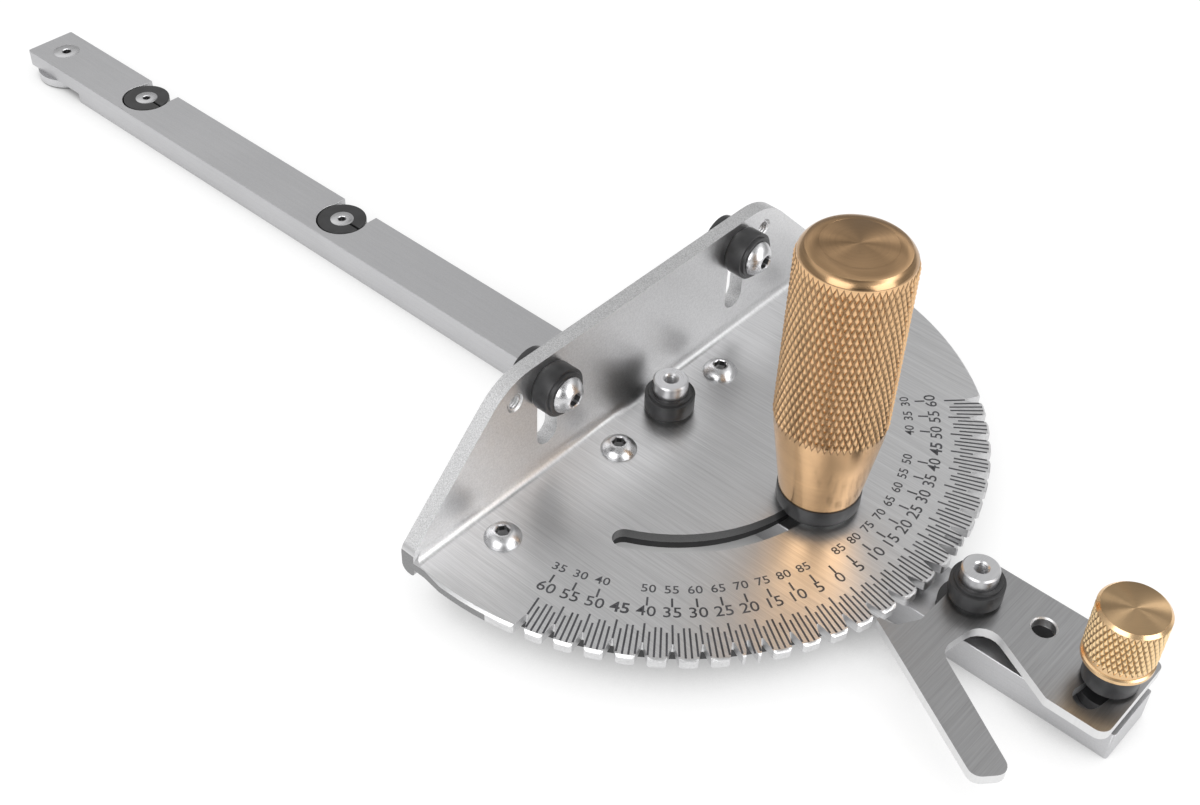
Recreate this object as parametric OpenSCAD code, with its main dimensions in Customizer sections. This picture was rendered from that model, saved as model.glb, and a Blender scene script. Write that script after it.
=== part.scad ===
// Miter gauge for a standard tool table slot.
// The origin is on the pivot axis at the underside of the bar.
// +X runs along the fence flange, +Y along the bar to its far end, +Z up.

/* [Bar] */
// Width of the bar, which fills the table slot
bar_w = 19.05; // [18:0.05:26]
// Thickness of the bar
bar_t = 9.5; // [8:0.1:13]
// Length of the bar
bar_len = 457; // [400:1:600]
// How far the bar's near end stands past the index plate's near edge
bar_past_index = 0.5; // [0:0.1:20]
// Corner radius of the bar's ends, seen from above
bar_corner_r = 0.8; // [0.2:0.1:2]
// Edge break along the bar
bar_break = 0.2; // [0.05:0.05:0.6]

/* [Slot washer] */
// Length of the thinned far end of the bar
thin_len = 30; // [25:1:60]
// Thickness left at the thinned end
thin_t = 5.9; // [4.5:0.1:7]
// Diameter of the washer that runs in the wide foot of the slot
slot_washer_d = 22.7; // [20:0.1:24]
// Thickness of that washer
slot_washer_t = 3; // [1:0.1:3]
// Distance from the bar's far end to the washer's axis
slot_washer_inset = 10.7; // [10:0.1:14]
// Thread diameter of the washer's screw
slot_screw_d = 5; // [4:0.5:6]
// Head diameter of the washer's screw
slot_screw_head_d = 9.6; // [8:0.1:11]

/* [Expansion discs] */
// Diameter of an expansion disc
disc_d = 16.2; // [14:0.1:16.6]
// Thickness of an expansion disc
disc_t = 4.5; // [3.5:0.1:6]
// Room around a disc in its pocket
disc_room = 0.5; // [0.2:0.05:0.8]
// Length of the pocket's mouth in the side of the bar
disc_mouth = 15.5; // [10:0.5:16]
// Distance from a disc's edge to the side of the bar
disc_inset = 0.18; // [0.05:0.01:0.5]
// Width of the slit in a disc
disc_slit = 0.7; // [0.4:0.1:1.2]
// Distance from the bar's far end to the far disc
disc_far_inset = 58; // [50:0.5:90]
// Distance from the far disc to the middle disc
disc_pitch = 105.9; // [80:0.1:120]
// Distance from the index post to the near disc, towards the near end
disc_near_gap = 18.9; // [18.1:0.1:20.1]
// How far a disc's screw reaches below its disc
disc_screw_in = 3; // [1:0.1:3.4]
// Thread diameter of a disc's screw
disc_screw_d = 4; // [3:0.5:4.5]
// Head diameter of a disc's screw
disc_screw_head_d = 7.8; // [7:0.1:9]

/* [Head plate] */
// Radius of the protractor rim
rim_r = 91.75; // [88:0.25:96]
// Thickness of the protractor plate
plate_t = 3; // [2:0.1:4]
// Thickness of the glide sheet under the plate
sheet_t = 3.4; // [2:0.1:5]
// How far the glide sheet stays inside the points of the notches
sheet_inset = 0.4; // [0:0.1:2]
// Depth of an index notch
notch_depth = 5.2; // [4:0.05:6]
// Width of an index notch at the rim
notch_w = 3.4; // [3:0.1:4]
// Radius at the point of an index notch
notch_r = 0.4; // [0.2:0.05:0.6]
// How much wider a notch opens where it meets the rim, on each side
notch_mouth = 0.5; // [0.1:0.1:0.7]
// Width of the sloped edge round the top of the rim
rim_edge = 0.7; // [0.2:0.1:1.2]
// Angle between two index notches
notch_step = 5; // [5:5:15]
// Largest angle with an index notch, to each side
notch_reach = 60; // [45:15:60]
// Extra index notch to each side
notch_extra = 22.5; // [22.5]
// Angle that the scale is turned off the bar, to the left
scale_turn = 14.2; // [13:0.1:16]
// Mean radius of the clamp slot
arc_r = 52.8; // [48:0.1:58]
// Width of the clamp slot
arc_w = 6.65; // [6.4:0.05:8]
// Angle from the middle of the clamp slot to the centre of its end
arc_reach = 62.7; // [62.5:0.1:66]
// How much wider the clamp slot is in the glide sheet, on each side
arc_sheet_room = 1.1; // [0.2:0.1:2]

/* [Fence flange] */
// Distance from the pivot to the flange's near face
flange_y = 10; // [9:0.5:14]
// Thickness of the flange
flange_t = 4.5; // [3:0.1:6]
// Height of the flange's top edge
flange_top = 54.5; // [53:0.5:70]
// Height of the flange's bottom edge above the bar
flange_lift = 0.6; // [0.3:0.1:2]
// How far the flange's ends stay inside the rim radius
flange_inset = 0.75; // [0.3:0.05:3]
// Half length of the flange's top edge, where the sloped edges begin
flange_top_half = 54.9; // [50:0.1:65]
// Radius between the top edge and a sloped edge
flange_corner_r = 20; // [2:1:20]
// Height of the end faces above the plate
flange_end_h = 2.5; // [1:0.1:10]
// Radius between a sloped edge and an end face
flange_end_r = 4; // [1:0.5:6]
// Radius of the fillet between plate and flange
fillet_r = 2.5; // [1:0.1:2.8]
// Radius of the flange's bottom edge at the back
flange_foot_r = 2.5; // [0.5:0.1:2.9]

/* [Fence clamps] */
// Distance from the middle to each fence slot
slot_x = 40.5; // [36:0.5:44]
// Width of a fence slot
slot_w = 7.8; // [6.4:0.1:9]
// Height of a fence slot's lowest point
slot_low = 24; // [22.5:0.5:30]
// Height of a fence slot's top end centre, where the clamps rest
slot_high = 46; // [42:0.5:46.5]
// Thread diameter of a fence bolt
fence_bolt_d = 6; // [5:0.5:6.2]
// Length of the black spacer of a fence bolt
fence_spacer_len = 7; // [4:0.5:8]
// Thickness of the round nut of a fence bolt
fence_nut_t = 3; // [2:0.1:6]
// Head diameter of a fence bolt
fence_head_d = 10.5; // [9:0.1:12]
// Head height of a fence bolt
fence_head_h = 3.3; // [2.5:0.1:4]
// Distance from the middle to each tapped hole
tapped_x = 52.7; // [50:0.1:56]
// Height of the tapped holes
tapped_z = 46.6; // [42:0.1:47]
// Diameter of the tapped holes, inside their threads
tapped_d = 4.5; // [3.3:0.1:5]
// Diameter of the countersinks of the tapped holes
tapped_sink_d = 5.9; // [5.2:0.1:7]

/* [Plate screws] */
// Distance from the middle to the inner plate screws
screw_in_x = 22.5; // [18:0.5:28]
// Distance from the middle to the outer plate screws
screw_out_x = 68.7; // [64:0.1:74]
// Distance from the pivot's line to the row of plate screws
screw_row = 0.6; // [0:0.1:2]
// Thread diameter of a plate screw
plate_screw_d = 5; // [4:0.5:6]
// Head diameter of a plate screw
plate_screw_head_d = 10; // [8.5:0.1:11]
// Head height of a plate screw
plate_screw_head_h = 2.75; // [2:0.05:3.5]

/* [Posts] */
// Diameter of the pivot post and of the index post
post_d = 10.1; // [8:0.1:11]
// Height of the pivot post's top
pivot_top = 27.2; // [25:0.1:35]
// Height of the index post's top
index_top = 26.6; // [25:0.1:35]
// Distance from the protractor's rim to the axis of the index post
index_gap = 11.15; // [10.75:0.05:11.75]
// Diameter of the posts' spigots in the bar
spigot_d = 8; // [6:0.5:9]
// Diameter of the tapped holes in the tops of the posts
post_hole_d = 3.6; // [3:0.1:4]
// Depth of the tapped holes in the tops of the posts
post_hole_depth = 9; // [5:0.5:12]
// Diameter of the black collars and spacers
collar_d = 14.4; // [13:0.1:15]
// Height of a black collar
collar_h = 7; // [5:0.1:8]
// Diameter of a collar's step and undercut
collar_step_d = 12.6; // [11.8:0.1:13]

/* [Handle] */
// Height of the handle's flat top
handle_top = 102.9; // [90:0.1:130]
// Diameter of the handle's knurled grip
grip_d = 30.6; // [26:0.1:36]
// Height at which the grip ends and the taper begins
grip_low = 48; // [40:0.5:60]
// Diameter of the handle's foot
foot_d = 22.5; // [18:0.1:23]
// Radius of the handle's top edge
handle_edge_r = 5.6; // [1:0.1:8]
// Thickness of the black washer under the handle
handle_washer_t = 6.1; // [3:0.1:8]
// Diameter of the black washer under the handle
handle_washer_d = 23.1; // [20:0.1:26]
// Height of the washer's undercut
handle_undercut_h = 1.7; // [0.5:0.1:2.5]
// Depth of the washer's undercut
handle_undercut = 1; // [0.3:0.1:2]
// Thread diameter of the handle's stud
handle_stud_d = 6; // [5:0.5:6.2]
// How far the stud reaches into the handle
handle_stud_in = 20; // [12:1:35]

/* [Index plate] */
// Radius of the knob's slot around the index post
lock_r = 39.1; // [38.8:0.1:39.4]
// Width of the knob's slot
lock_w = 7; // [6.5:0.1:8]
// Angle from the middle of the knob's slot to the centre of its end
lock_reach = 13.4; // [12:0.1:15]
// Distance from the bar's middle to the plate's right edge
index_right = 13.2; // [12:0.1:15]
// Distance from the bar's middle to the plate's left edge
index_left = 16.1; // [15.5:0.1:18]
// Distance from the index post to the plate's near edge
index_reach = 47.1; // [46.6:0.1:50]
// How far the plate reaches past the index post, towards the pivot
index_back = 5.5; // [5.3:0.1:6]
// Distance from the bar's middle to the shoulder that leads to the finger
shoulder_x = 16.2; // [15.7:0.1:16.7]
// How far the finger's flank begins past the index post, towards the rim
flank_y = 9; // [8.6:0.1:9.2]
// Distance from the bar's middle to the upper corner of the lever's tip
tip_x = 47.9; // [46:0.1:50]
// Distance from the index post to that corner, towards the near end
tip_y = 30.1; // [29:0.1:31]
// Distance from the bar's middle to the lower corner of the lever's tip
tip_low_x = 40.6; // [39.5:0.1:42]
// Distance from the index post to that corner, towards the near end
tip_low_y = 36.7; // [35.7:0.1:38]
// Distance from the bar's middle to the left top of the gap between lever and plate
arch_left_x = 20.9; // [20:0.1:22]
// Distance from the index post to the left top of the gap, towards the near end
arch_left_y = 3.5; // [3:0.1:4.5]
// Distance from the bar's middle to the right top of the gap
arch_right_x = 4.4; // [4:0.1:5]
// Distance from the index post to the right top of the gap, towards the near end
arch_right_y = 6.7; // [6.4:0.1:7.4]
// Distance from the index post to the gap's lower right corner, towards the near end
arch_foot_y = 30.7; // [29:0.1:32]
// Turn of the plate that brings its finger into a notch
index_engage = 5.5; // [5.5:0.1:6.5]
// Depth of the finger's tip in a notch
finger_in = 2.1; // [1.5:0.1:2.2]
// Width of the finger's tip
finger_tip_w = 1; // [0.6:0.1:1.2]
// Width of the finger's root
finger_root_w = 2.8; // [2.4:0.1:3]
// Diameter of the hole over the near expansion disc's screw
access_d = 6.3; // [5:0.1:7]
// Distance from the bar's middle to that hole
access_x = 3.1; // [1:0.1:4]

/* [Index knob] */
// Height of the index knob's top
knob_top = 42.5; // [38:0.5:60]
// Diameter of the index knob
knob_d = 18.3; // [16:0.1:22]
// Chamfer of the index knob's top edge
knob_chamfer = 0.85; // [0.3:0.05:2]
// Length of the black spacer under the index knob
knob_spacer_h = 8.1; // [4:0.1:12]
// Diameter of the black spacer under the index knob
knob_spacer_d = 14.5; // [13:0.1:16]
// Thread diameter of the index knob's stud
knob_stud_d = 5; // [4:0.5:6]
// How far the stud reaches into the knob
knob_stud_in = 13; // [6:0.5:14]

/* [Fits] */
// Radial clearance of turning and sliding fits
fit = 0.05; // [0.02:0.01:0.09]
// Floor left under the spigots and studs in the bar
bar_floor = 1.5; // [0.5:0.1:3]
// Distance between the glide sheet and the flange
sheet_gap = 0.3; // [0.1:0.1:1]

/* [Hidden] */
$fn = 72;
// Small overrun of a cut past the face that it opens
over = 1;
// Smallest overrun, where two cuts meet in one face
touch = 0.01;
// Angle by which the sides of a ring slot stop short of its round ends' centres
slot_side_short = 0.3;
// Steps of a rounded corner and of a dome
arc_steps = 6;
// Sizes of the screws' recesses, as shares of their threads and heads
key_share = 0.6;
bolt_key_share = 0.66;
disc_key_share = 0.62;
button_key_depth = 0.55;
flat_key_depth = 1.2;
button_rim_h = 0.3;
// Steps and edges of the turned black collars
collar_foot_h = 1.2;
collar_step_h = 0.9;
collar_break = 0.3;
spacer_undercut = 1;
// Edge break of the posts, and of the hole in the index plate
post_bevel = 0.4;
access_bevel = 0.4;
// Room past the end of a stud in its bore
stud_room = 3;
knob_stud_room = 2;
// Room below a plate screw's tip
screw_tip_room = 0.3;
// Heights of the layers on the bar
sheet_z = bar_t;
plate_z = sheet_z + sheet_t;
plate_top = plate_z + plate_t;
// Index post, knob and index plate, all from the rim
index_y = rim_r + index_gap;
index_near = index_y + index_reach;
index_far = index_y - index_back;
knob_y = index_y + lock_r;
// Ends of the bar and its slot washer
bar_near = index_near + bar_past_index;
bar_far = bar_len - bar_near;
thin_z = bar_t - thin_t;
slot_washer_y = bar_far - slot_washer_inset;
// Expansion discs, next to the right side of the bar
disc_x = bar_w / 2 - disc_inset - disc_d / 2;
pocket_r = disc_d / 2 + disc_room;
disc_far_y = bar_far - disc_far_inset;
disc_mid_y = disc_far_y - disc_pitch;
disc_near_y = index_y + disc_near_gap;
disc_ys = [disc_far_y, disc_mid_y, -disc_near_y];
disc_screw_len = disc_t + disc_screw_in;
// Protractor
flange_half = rim_r - flange_inset;
flange_back = flange_y + flange_t;
flange_bottom = bar_t + flange_lift;
// Share of the room beside the foot's radius that rounds the flange's lower front edge
lip_share = 0.75;
flange_lip_r = (flange_t - flange_foot_r) * lip_share;
rim_end_y = flange_y * 0.6;
notch_angles = concat([for (a = [-notch_reach:notch_step:notch_reach]) a], [-notch_extra, notch_extra]);
notch_root_r = rim_r - notch_depth;
sheet_r = notch_root_r - sheet_inset;
plate_screw_xs = [-screw_out_x, -screw_in_x, screw_in_x, screw_out_x];
plate_screw_len = plate_t + sheet_t - screw_tip_room;
// Washers under the index plate
index_washer_d = 18;
knob_washer_d = 13.6;
// Index notches, and the room around the finger and the knob's boss
notch_half_w = notch_w / 2;
notch_mouth_w = notch_half_w - (notch_half_w - notch_r) * notch_mouth / (notch_depth - notch_r);
finger_root_gap = 0.8;
finger_root_r = rim_r + finger_root_gap;
flank_x = 0.6;
lock_boss_room = 0.1;
// Corner radii of the index plate
index_corner_r = 2;
index_left_r = 3;
shoulder_r = 2.5;
flank_r = 2.2;
finger_right_r = 0.4;
finger_left_r = 0.6;
finger_tip_r = 0.2;
lever_tip_r = 3.2;
arch_left_r = 5;
arch_right_r = 5.5;

function unit(v) = v / norm(v);
function turned(p, a) = [p[0] * cos(a) - p[1] * sin(a), p[0] * sin(a) + p[1] * cos(a)];
function turned_about(p, c, a) = c + turned(p - c, a);
function wrapped(a) = a > 180 ? a - 360 : a < -180 ? a + 360 : a;
function xy(p) = [p[0], p[1]];

// Points of the arc that rounds corner b between its neighbours a and c
function corner_arc(a, b, c, r) =
    let (
        to_a = unit(a - b),
        to_c = unit(c - b),
        half = acos(to_a * to_c) / 2,
        centre = b + unit(to_a + to_c) * r / sin(half),
        from = b + to_a * r / tan(half) - centre,
        to = b + to_c * r / tan(half) - centre,
        start = atan2(from[1], from[0]),
        sweep = wrapped(atan2(to[1], to[0]) - start)
    )
    [for (i = [0:arc_steps])
        let (a = start + sweep * i / arc_steps)
        centre + r * [cos(a), sin(a)]];

// Outline through corners [x, y, radius], each one rounded where its radius isn't zero
function rounded(p) =
    let (n = len(p))
    [for (i = [0:n - 1])
        let (a = xy(p[(i + n - 1) % n]), b = xy(p[i]), c = xy(p[(i + 1) % n]))
        each p[i][2] > 0 ? corner_arc(a, b, c, p[i][2]) : [b]];

// Half profile of a domed head: flat rim, then a quarter ellipse up to a flat top
function dome_profile(d, h, rim_h, flat_d) = concat([[0, 0], [d / 2, 0]],
    [for (i = [0:arc_steps])
        let (a = 90 * i / arc_steps)
        [flat_d / 2 + (d - flat_d) / 2 * cos(a), rim_h + (h - rim_h) * sin(a)]],
    [[0, h]]);

module hex_recess(across, depth) {
    translate([0, 0, -depth])
        cylinder(h = depth + over, d = across / cos(30), $fn = 6);
}

// Button head screw: its head stands on z = 0 and its shank hangs below
module button_screw(d, head_d, head_h, len, key) {
    difference() {
        union() {
            rotate_extrude()
                polygon(dome_profile(head_d, head_h, button_rim_h, head_d / 2));
            translate([0, 0, -len])
                cylinder(h = len, d = d);
        }
        translate([0, 0, head_h])
            hex_recess(key, head_h * button_key_depth);
    }
}

// Countersunk screw: its flat top is at z = 0 and its shank hangs below
module flat_screw(d, head_d, len, key) {
    head_h = (head_d - d) / 2;
    difference() {
        union() {
            translate([0, 0, -head_h])
                cylinder(h = head_h, d1 = d, d2 = head_d);
            translate([0, 0, -len])
                cylinder(h = len, d = d);
        }
        hex_recess(key, head_h * flat_key_depth);
    }
}

// Room that a countersunk screw fills
module flat_screw_room(d, head_d, len) {
    head_h = (head_d - d) / 2;
    translate([0, 0, -head_h])
        cylinder(h = head_h, d1 = d, d2 = head_d);
    translate([0, 0, -len])
        cylinder(h = len, d = d);
    cylinder(h = over, d = head_d);
}

// Ring slot around the origin, centred on -Y, with round ends.
// The ring stops a little short of the end circles' centres, so that no edge ends where two arcs touch.
module ring_slot(r, w, reach) {
    side = reach - slot_side_short;
    difference() {
        intersection() {
            circle(r = r + w / 2);
            polygon(3 * r * [[0, 0], [-sin(side), -cos(side)], [0, -2], [sin(side), -cos(side)]]);
        }
        circle(r = r - w / 2);
    }
    for (side = [-1, 1])
        translate(r * [side * sin(reach), -cos(reach)])
            circle(d = w);
}

// Turned black ring with a stepped top and an undercut foot
module collar(d, h, bore, step_d) {
    rotate_extrude()
        polygon([
            [bore / 2, 0],
            [step_d / 2, 0],
            [step_d / 2, collar_foot_h],
            [d / 2, collar_foot_h],
            [d / 2, h - collar_step_h - collar_break],
            [d / 2 - collar_break, h - collar_step_h],
            [step_d / 2, h - collar_step_h],
            [step_d / 2, h],
            [bore / 2, h]
        ]);
}

module bar_side_profile() {
    half = bar_w / 2;
    flat = half - bar_break;
    wall = bar_t - bar_break;
    polygon([[-flat, 0], [flat, 0], [half, bar_break], [half, wall],
        [flat, bar_t], [-flat, bar_t], [-half, wall], [-half, bar_break]]);
}

module bar_plan() {
    half = bar_w / 2;
    r = bar_corner_r;
    polygon(rounded([[-half, -bar_near, r], [half, -bar_near, r],
        [half, bar_far, r], [-half, bar_far, r]]));
}

module disc_pocket() {
    translate([disc_x, 0, bar_t - disc_t])
        cylinder(h = disc_t + over, r = pocket_r);
    translate([disc_x, -disc_mouth / 2, bar_t - disc_t])
        cube([bar_w, disc_mouth, disc_t + over]);
}

module miter_bar() {
    color("gainsboro")
        difference() {
            intersection() {
                translate([0, bar_far, 0])
                    rotate([90, 0, 0])
                        linear_extrude(bar_len)
                            bar_side_profile();
                linear_extrude(bar_t)
                    bar_plan();
            }
            translate([-bar_w, bar_far - thin_len, -over])
                cube([2 * bar_w, thin_len + over, thin_z + over]);
            translate([0, slot_washer_y, bar_t])
                flat_screw_room(slot_screw_d, slot_screw_head_d, bar_t + over);
            for (y = disc_ys) {
                translate([0, y, 0])
                    disc_pocket();
                translate([disc_x, y, bar_t - disc_screw_len])
                    cylinder(h = bar_t, d = disc_screw_d + 2 * fit);
            }
            for (y = [0, -index_y])
                translate([0, y, bar_floor])
                    cylinder(h = bar_t, d = spigot_d);
            translate([0, -arc_r, bar_floor])
                cylinder(h = bar_t, d = handle_stud_d);
            translate([0, -knob_y, bar_floor])
                cylinder(h = bar_t, d = knob_stud_d);
        }
}

module slot_washer() {
    color("silver")
        translate([0, slot_washer_y, thin_z - slot_washer_t])
            difference() {
                cylinder(h = slot_washer_t, d = slot_washer_d);
                translate([0, 0, -over])
                    cylinder(h = slot_washer_t + 2 * over, d = slot_screw_d);
            }
}

module slot_washer_screw() {
    color("silver")
        translate([0, slot_washer_y, bar_t])
            flat_screw(slot_screw_d, slot_screw_head_d, thin_t + slot_washer_t, slot_screw_d * key_share);
}

module expansion_disc(y) {
    color("#262626")
        translate([disc_x, y, bar_t])
            difference() {
                translate([0, 0, -disc_t])
                    cylinder(h = disc_t, d = disc_d);
                flat_screw_room(disc_screw_d + 2 * fit, disc_screw_head_d + 2 * fit, disc_t + over);
                translate([-disc_slit / 2, -disc_d, -disc_t - over])
                    cube([disc_slit, disc_d, disc_t + 2 * over]);
            }
}

module expansion_screw(y) {
    color("silver")
        translate([disc_x, y, bar_t])
            flat_screw(disc_screw_d, disc_screw_head_d, disc_screw_len, disc_screw_d * disc_key_share);
}

// Post with a spigot in the bar and a tapped hole in its top
module post(y, top) {
    color("silver")
        translate([0, -y, 0])
            difference() {
                union() {
                    translate([0, 0, bar_floor])
                        cylinder(h = bar_t, d = spigot_d);
                    translate([0, 0, bar_t])
                        cylinder(h = top - bar_t - post_bevel, d = post_d);
                    translate([0, 0, top - post_bevel])
                        cylinder(h = post_bevel, d1 = post_d, d2 = post_d - 2 * post_bevel);
                }
                translate([0, 0, top - post_hole_depth])
                    cylinder(h = post_hole_depth + over, d = post_hole_d);
                translate([0, 0, top - post_bevel])
                    cylinder(h = post_bevel + touch, d1 = post_hole_d,
                        d2 = post_hole_d + 2 * (post_bevel + touch));
            }
}

module pivot_post() {
    post(0, pivot_top);
}

module index_post() {
    post(index_y, index_top);
}

module post_collar(y) {
    color("#262626")
        translate([0, -y, plate_top])
            collar(collar_d, collar_h, post_d, collar_step_d);
}

// Black washer that holds a plate up off the bar
module spacer_ring(y, d, bore) {
    color("#262626")
        translate([0, -y, bar_t])
            difference() {
                cylinder(h = sheet_t, d = d);
                translate([0, 0, -over])
                    cylinder(h = sheet_t + 2 * over, d = bore);
            }
}

module handle_stud() {
    color("silver")
        translate([0, -arc_r, bar_floor])
            cylinder(h = plate_top + handle_washer_t + handle_stud_in - bar_floor, d = handle_stud_d);
}

module handle_washer() {
    color("#262626")
        translate([0, -arc_r, plate_top])
            difference() {
                union() {
                    cylinder(h = handle_undercut_h, d = handle_washer_d - 2 * handle_undercut);
                    translate([0, 0, handle_undercut_h])
                        cylinder(h = handle_washer_t - handle_undercut_h, d = handle_washer_d);
                }
                translate([0, 0, -over])
                    cylinder(h = handle_washer_t + 2 * over, d = handle_stud_d + 2 * fit);
            }
}

module handle() {
    foot_z = plate_top + handle_washer_t;
    r = grip_d / 2;
    profile = concat([[0, foot_z], [foot_d / 2, foot_z]], [[r, grip_low]],
        corner_arc([r, grip_low], [r, handle_top], [0, handle_top], handle_edge_r), [[0, handle_top]]);
    color("#c9a36a")
        translate([0, -arc_r, 0])
            difference() {
                rotate_extrude()
                    polygon(profile);
                translate([0, 0, foot_z - over])
                    cylinder(h = handle_stud_in + stud_room + over, d = handle_stud_d + 2 * fit);
            }
}

module knob_stud() {
    color("silver")
        translate([0, -knob_y, bar_floor])
            cylinder(h = plate_top + knob_spacer_h + knob_stud_in - bar_floor, d = knob_stud_d);
}

// Black spacer with a boss that runs in the index plate's slot
module knob_spacer() {
    boss_d = lock_w - 2 * lock_boss_room;
    color("#262626")
        translate([0, -knob_y, plate_top])
            difference() {
                union() {
                    translate([0, 0, -plate_t])
                        cylinder(h = plate_t + spacer_undercut, d = boss_d);
                    cylinder(h = spacer_undercut, d = knob_spacer_d - 2 * spacer_undercut);
                    translate([0, 0, spacer_undercut])
                        cylinder(h = knob_spacer_h - spacer_undercut, d = knob_spacer_d);
                }
                translate([0, 0, -plate_t - over])
                    cylinder(h = plate_t + knob_spacer_h + 2 * over, d = knob_stud_d + 2 * fit);
            }
}

module index_knob() {
    foot_z = plate_top + knob_spacer_h;
    color("#c9a36a")
        translate([0, -knob_y, 0])
            difference() {
                union() {
                    translate([0, 0, foot_z])
                        cylinder(h = knob_top - knob_chamfer - foot_z, d = knob_d);
                    translate([0, 0, knob_top - knob_chamfer])
                        cylinder(h = knob_chamfer, d1 = knob_d, d2 = knob_d - 2 * knob_chamfer);
                }
                translate([0, 0, foot_z - over])
                    cylinder(h = knob_stud_in + knob_stud_room + over, d = knob_stud_d + 2 * fit);
            }
}

// A point of the engaged finger, at radius r and half width w, turned back to rest
function finger_point(r, w) =
    turned_about(turned([-w, -r], -scale_turn), [0, -index_y], index_engage);

module index_outline() {
    tip_r = rim_r - finger_in;
    tip_right = finger_point(tip_r, -finger_tip_w / 2);
    tip_left = finger_point(tip_r, finger_tip_w / 2);
    root_right = finger_point(finger_root_r, -finger_root_w / 2);
    root_left = finger_point(finger_root_r, finger_root_w / 2);
    points = [
        [index_right, -index_near, index_corner_r],
        [index_right, -index_far, index_corner_r],
        [-shoulder_x, -index_far, shoulder_r],
        [root_right[0] + flank_x, flank_y - index_y, flank_r],
        [root_right[0], root_right[1], finger_right_r],
        [tip_right[0], tip_right[1], finger_tip_r],
        [tip_left[0], tip_left[1], finger_tip_r],
        [root_left[0], root_left[1], finger_left_r],
        [-tip_x, -index_y - tip_y, lever_tip_r],
        [-tip_low_x, -index_y - tip_low_y, lever_tip_r],
        [-arch_left_x, -index_y - arch_left_y, arch_left_r],
        [-arch_right_x, -index_y - arch_right_y, arch_right_r],
        [-index_left, -index_y - arch_foot_y, index_corner_r],
        [-index_left, -index_near, index_left_r]
    ];
    polygon(rounded(points));
}

module index_plate() {
    color("silver")
        translate([0, 0, plate_z])
            difference() {
                linear_extrude(plate_t)
                    index_outline();
                translate([0, -index_y, -over])
                    cylinder(h = plate_t + 2 * over, d = post_d + 2 * fit);
                translate([0, -index_y, -over])
                    linear_extrude(plate_t + 2 * over)
                        ring_slot(lock_r, lock_w, lock_reach);
                translate([access_x, -disc_near_y, -over])
                    cylinder(h = plate_t + 2 * over, d = access_d);
                translate([access_x, -disc_near_y, plate_t - access_bevel])
                    cylinder(h = access_bevel + touch, d1 = access_d,
                        d2 = access_d + 2 * (access_bevel + touch));
            }
}

module index_notch() {
    mouth = notch_half_w + notch_mouth;
    translate([0, -rim_r, -over]) {
        linear_extrude(plate_t + 2 * over)
            polygon([[-mouth, -over], [mouth, -over], [mouth, 0], [notch_mouth_w, notch_mouth],
                [-notch_mouth_w, notch_mouth], [-mouth, 0]]);
        linear_extrude(plate_t + 2 * over)
            polygon([[-notch_half_w, 0], [notch_half_w, 0], [notch_r, notch_depth - notch_r],
                [-notch_r, notch_depth - notch_r]]);
        translate([0, notch_depth - notch_r, 0])
            cylinder(h = plate_t + 2 * over, r = notch_r);
    }
}

// Outline of the protractor: the rim's circle, cut to the flange's ends
module plate_outline() {
    intersection() {
        circle(r = rim_r, $fn = 180);
        polygon([[-rim_r, -rim_r], [rim_r, -rim_r], [rim_r, 0], [flange_half, rim_end_y],
            [flange_half, flange_back - over], [-flange_half, flange_back - over],
            [-flange_half, rim_end_y], [-rim_r, 0]]);
    }
}

// Front view of the flange, and its end view
module flange_front_view() {
    end_top = plate_top + flange_end_h;
    polygon(rounded([
        [-flange_half, flange_bottom, 0],
        [flange_half, flange_bottom, 0],
        [flange_half, end_top, flange_end_r],
        [flange_top_half, flange_top, flange_corner_r],
        [-flange_top_half, flange_top, flange_corner_r],
        [-flange_half, end_top, flange_end_r]
    ]));
}

module flange_end_view() {
    polygon(rounded([[flange_y, flange_bottom, flange_lip_r], [flange_back, flange_bottom, flange_foot_r],
        [flange_back, flange_top, 0], [flange_y, flange_top, 0]]));
}

module along_x(half) {
    translate([-half, 0, 0])
        rotate([90, 0, 90])
            linear_extrude(2 * half)
                children();
}

module along_y(from, to) {
    translate([0, to, 0])
        rotate([90, 0, 0])
            linear_extrude(to - from)
                children();
}

module flange() {
    intersection() {
        along_y(flange_y, flange_back)
            flange_front_view();
        along_x(flange_half)
            flange_end_view();
    }
}

module flange_fillet() {
    along_x(flange_half)
        difference() {
            translate([flange_y - fillet_r, plate_top - over])
                square([fillet_r + over, fillet_r + over]);
            translate([flange_y - fillet_r, plate_top + fillet_r])
                circle(r = fillet_r);
        }
}

// Plate and fillet, with the sloped edge that runs round the rim
module rim_plate() {
    rim_top = plate_top - rim_edge;
    fillet_top = plate_top + fillet_r;
    intersection() {
        union() {
            translate([0, 0, plate_z])
                linear_extrude(plate_t)
                    plate_outline();
            flange_fillet();
        }
        rotate_extrude($fn = 180)
            polygon([[0, plate_z - over], [rim_r + over, plate_z - over], [rim_r + over, rim_top - over],
                [rim_r - rim_edge - fillet_r - over, fillet_top + over], [0, fillet_top + over]]);
    }
}

module fence_slot() {
    low = slot_low + slot_w / 2;
    translate([-slot_w / 2, low])
        square([slot_w, slot_high - low]);
    for (z = [low, slot_high])
        translate([0, z])
            circle(d = slot_w);
}

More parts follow.
